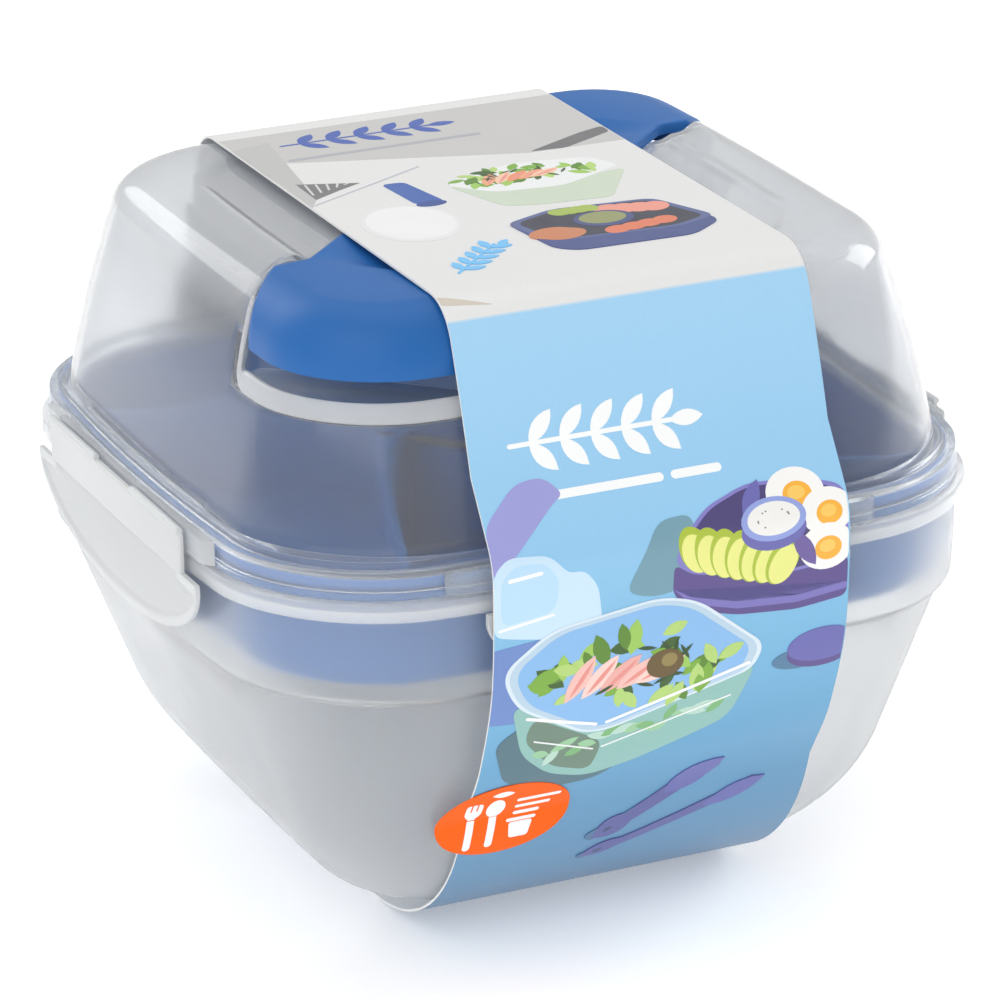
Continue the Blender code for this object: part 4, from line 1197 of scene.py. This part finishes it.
def build_sticker():
    """Oval seal that runs over the sleeve's left edge, and plain icons on it."""
    line, thick = Surface(0.12), 0.15
    rows, columns = 40, 16
    rings = []
    for i in range(rows + 1):
        s = -cos(pi * i / rows) * 0.999
        wide = STICKER_WIDE * sqrt(1 - s * s)
        xs = [STICKER_X + wide * (2 * k / columns - 1) for k in range(columns + 1)]
        at = STICKER_RISE + STICKER_TALL * s
        rings.append([line.at(x, at, 0) for x in xs] + [line.at(x, at, thick) for x in reversed(xs)])
    sticker = loft_object("sticker_oval", rings, film)
    install(sticker, "sleeve", "sticker_film", "sticker")
    icons = Print(0.12 + thick)
    put = icons.add
    x, s = STICKER_X - 7.2, STICKER_RISE - 0.6
    put(bar(x, s - 7, x, s + 2, 1.7), WHITE)
    put(soft_outline([(x - 1.9, s + 6.6), (x + 1.9, s + 6.6), (x + 1.9, s + 2.8), (x, s + 0.8),
                      (x - 1.9, s + 2.8)], 1), WHITE)
    for k in (-0.65, 0.65):
        put(bar(x + k, s + 4.4, x + k, s + 7, 0.35), film)
    x += 5
    put(bar(x, s - 7, x, s + 2, 1.7), WHITE)
    put(ellipse(x, s + 4, 2.1, 3), WHITE)
    x += 6.6
    put(soft_outline([(x - 2.7, s - 1.6), (x + 2.7, s - 1.6), (x + 2.1, s - 6.2), (x - 2.1, s - 6.2)],
                     0.8), WHITE)
    put(bar(x - 2.9, s - 0.9, x + 2.9, s - 0.9, 0.9), WHITE)
    for k, length in enumerate((9, 7, 5)):
        put(bar(x - 1.6, s + 5.6 - 2.3 * k, x - 1.6 + length, s + 5.6 - 2.3 * k, 1), WHITE)
    put(leaf(STICKER_X - 1.4, STICKER_RISE + 8.2, 5, 1.9, 0), WHITE)
    icons.finish("sticker_icons", "sticker_film")


# ---------------------------------------------------------------- studio
CAMERA_AZIMUTH, CAMERA_HEIGHT, CAMERA_DISTANCE = -23.774, 20.99, 1.1716
CAMERA_LENS, CAMERA_ROLL, CAMERA_SHIFT = 193.5, -1.06, (0.0037, 0.0303)
AIM = Vector((0, 0, 0.07))
WORLD_STRENGTH = 0.62
# (name, place, size, power)
LAMPS = [("key", (-1.1, -0.9, 1.1), 1.7, 9.5), ("right", (1.5, 0.1, 0.7), 0.9, 9.0),
         ("top", (0.1, 0.2, 1.5), 1.2, 3.6), ("rear", (-0.6, 1.3, 0.9), 0.9, 4.5)]


def build_studio():
    scene = bpy.context.scene
    a, e = radians(CAMERA_AZIMUTH), radians(CAMERA_HEIGHT)
    back = Vector((sin(a) * cos(e), -cos(a) * cos(e), sin(e)))
    camera = bpy.data.objects.new("camera", bpy.data.cameras.new("camera"))
    camera.data.lens = CAMERA_LENS
    camera.data.sensor_width = 36
    camera.data.shift_x, camera.data.shift_y = CAMERA_SHIFT
    camera.location = AIM + back * CAMERA_DISTANCE
    look = (-back).to_track_quat("-Z", "Y").to_matrix().to_4x4()
    roll = Matrix.Rotation(radians(CAMERA_ROLL), 4, "Z")
    camera.matrix_world = Matrix.Translation(camera.location) @ look @ roll
    bpy.context.collection.objects.link(camera)
    scene.camera = camera

    bm = bmesh.new()
    bmesh.ops.create_grid(bm, x_segments=8, y_segments=8, size=3000)
    paper = surface("studio_paper", srgb(250, 250, 250), 0.8, 60, 0.05, 0.01, Emission_Color=(1, 1, 1, 1),
                    Emission_Strength=0.30)
    floor = make_object("studio_floor", bm, paper)

    for name, place, size, power in LAMPS:
        light = bpy.data.lights.new(name, "AREA")
        light.size, light.energy = size, power
        lamp = bpy.data.objects.new(name, light)
        lamp.location = place
        lamp.rotation_euler = (AIM - Vector(place)).to_track_quat("-Z", "Y").to_euler()
        bpy.context.collection.objects.link(lamp)
    world = bpy.data.worlds.new("studio")
    scene.world = world
    world.use_nodes = True
    sky = world.node_tree.nodes["Background"]
    sky.inputs["Color"].default_value = (1, 1, 1, 1)
    sky.inputs["Strength"].default_value = WORLD_STRENGTH
    scene.view_settings.view_transform = "Standard"


build_studio()
build_bowl()
build_tray()
build_sauce_cup()
build_lid()
build_lands()
build_gasket()
build_pocket_lips()
build_cover()
build_tool("knife", HANDLE + BLADE, -TOOL_OFFSET)
build_tool("fork", HANDLE + FORK_HEAD, TOOL_OFFSET)
for turns, side in enumerate(SIDES):
    build_latch(side, turns)
build_sleeve()
print_front()
print_top()
build_sticker()
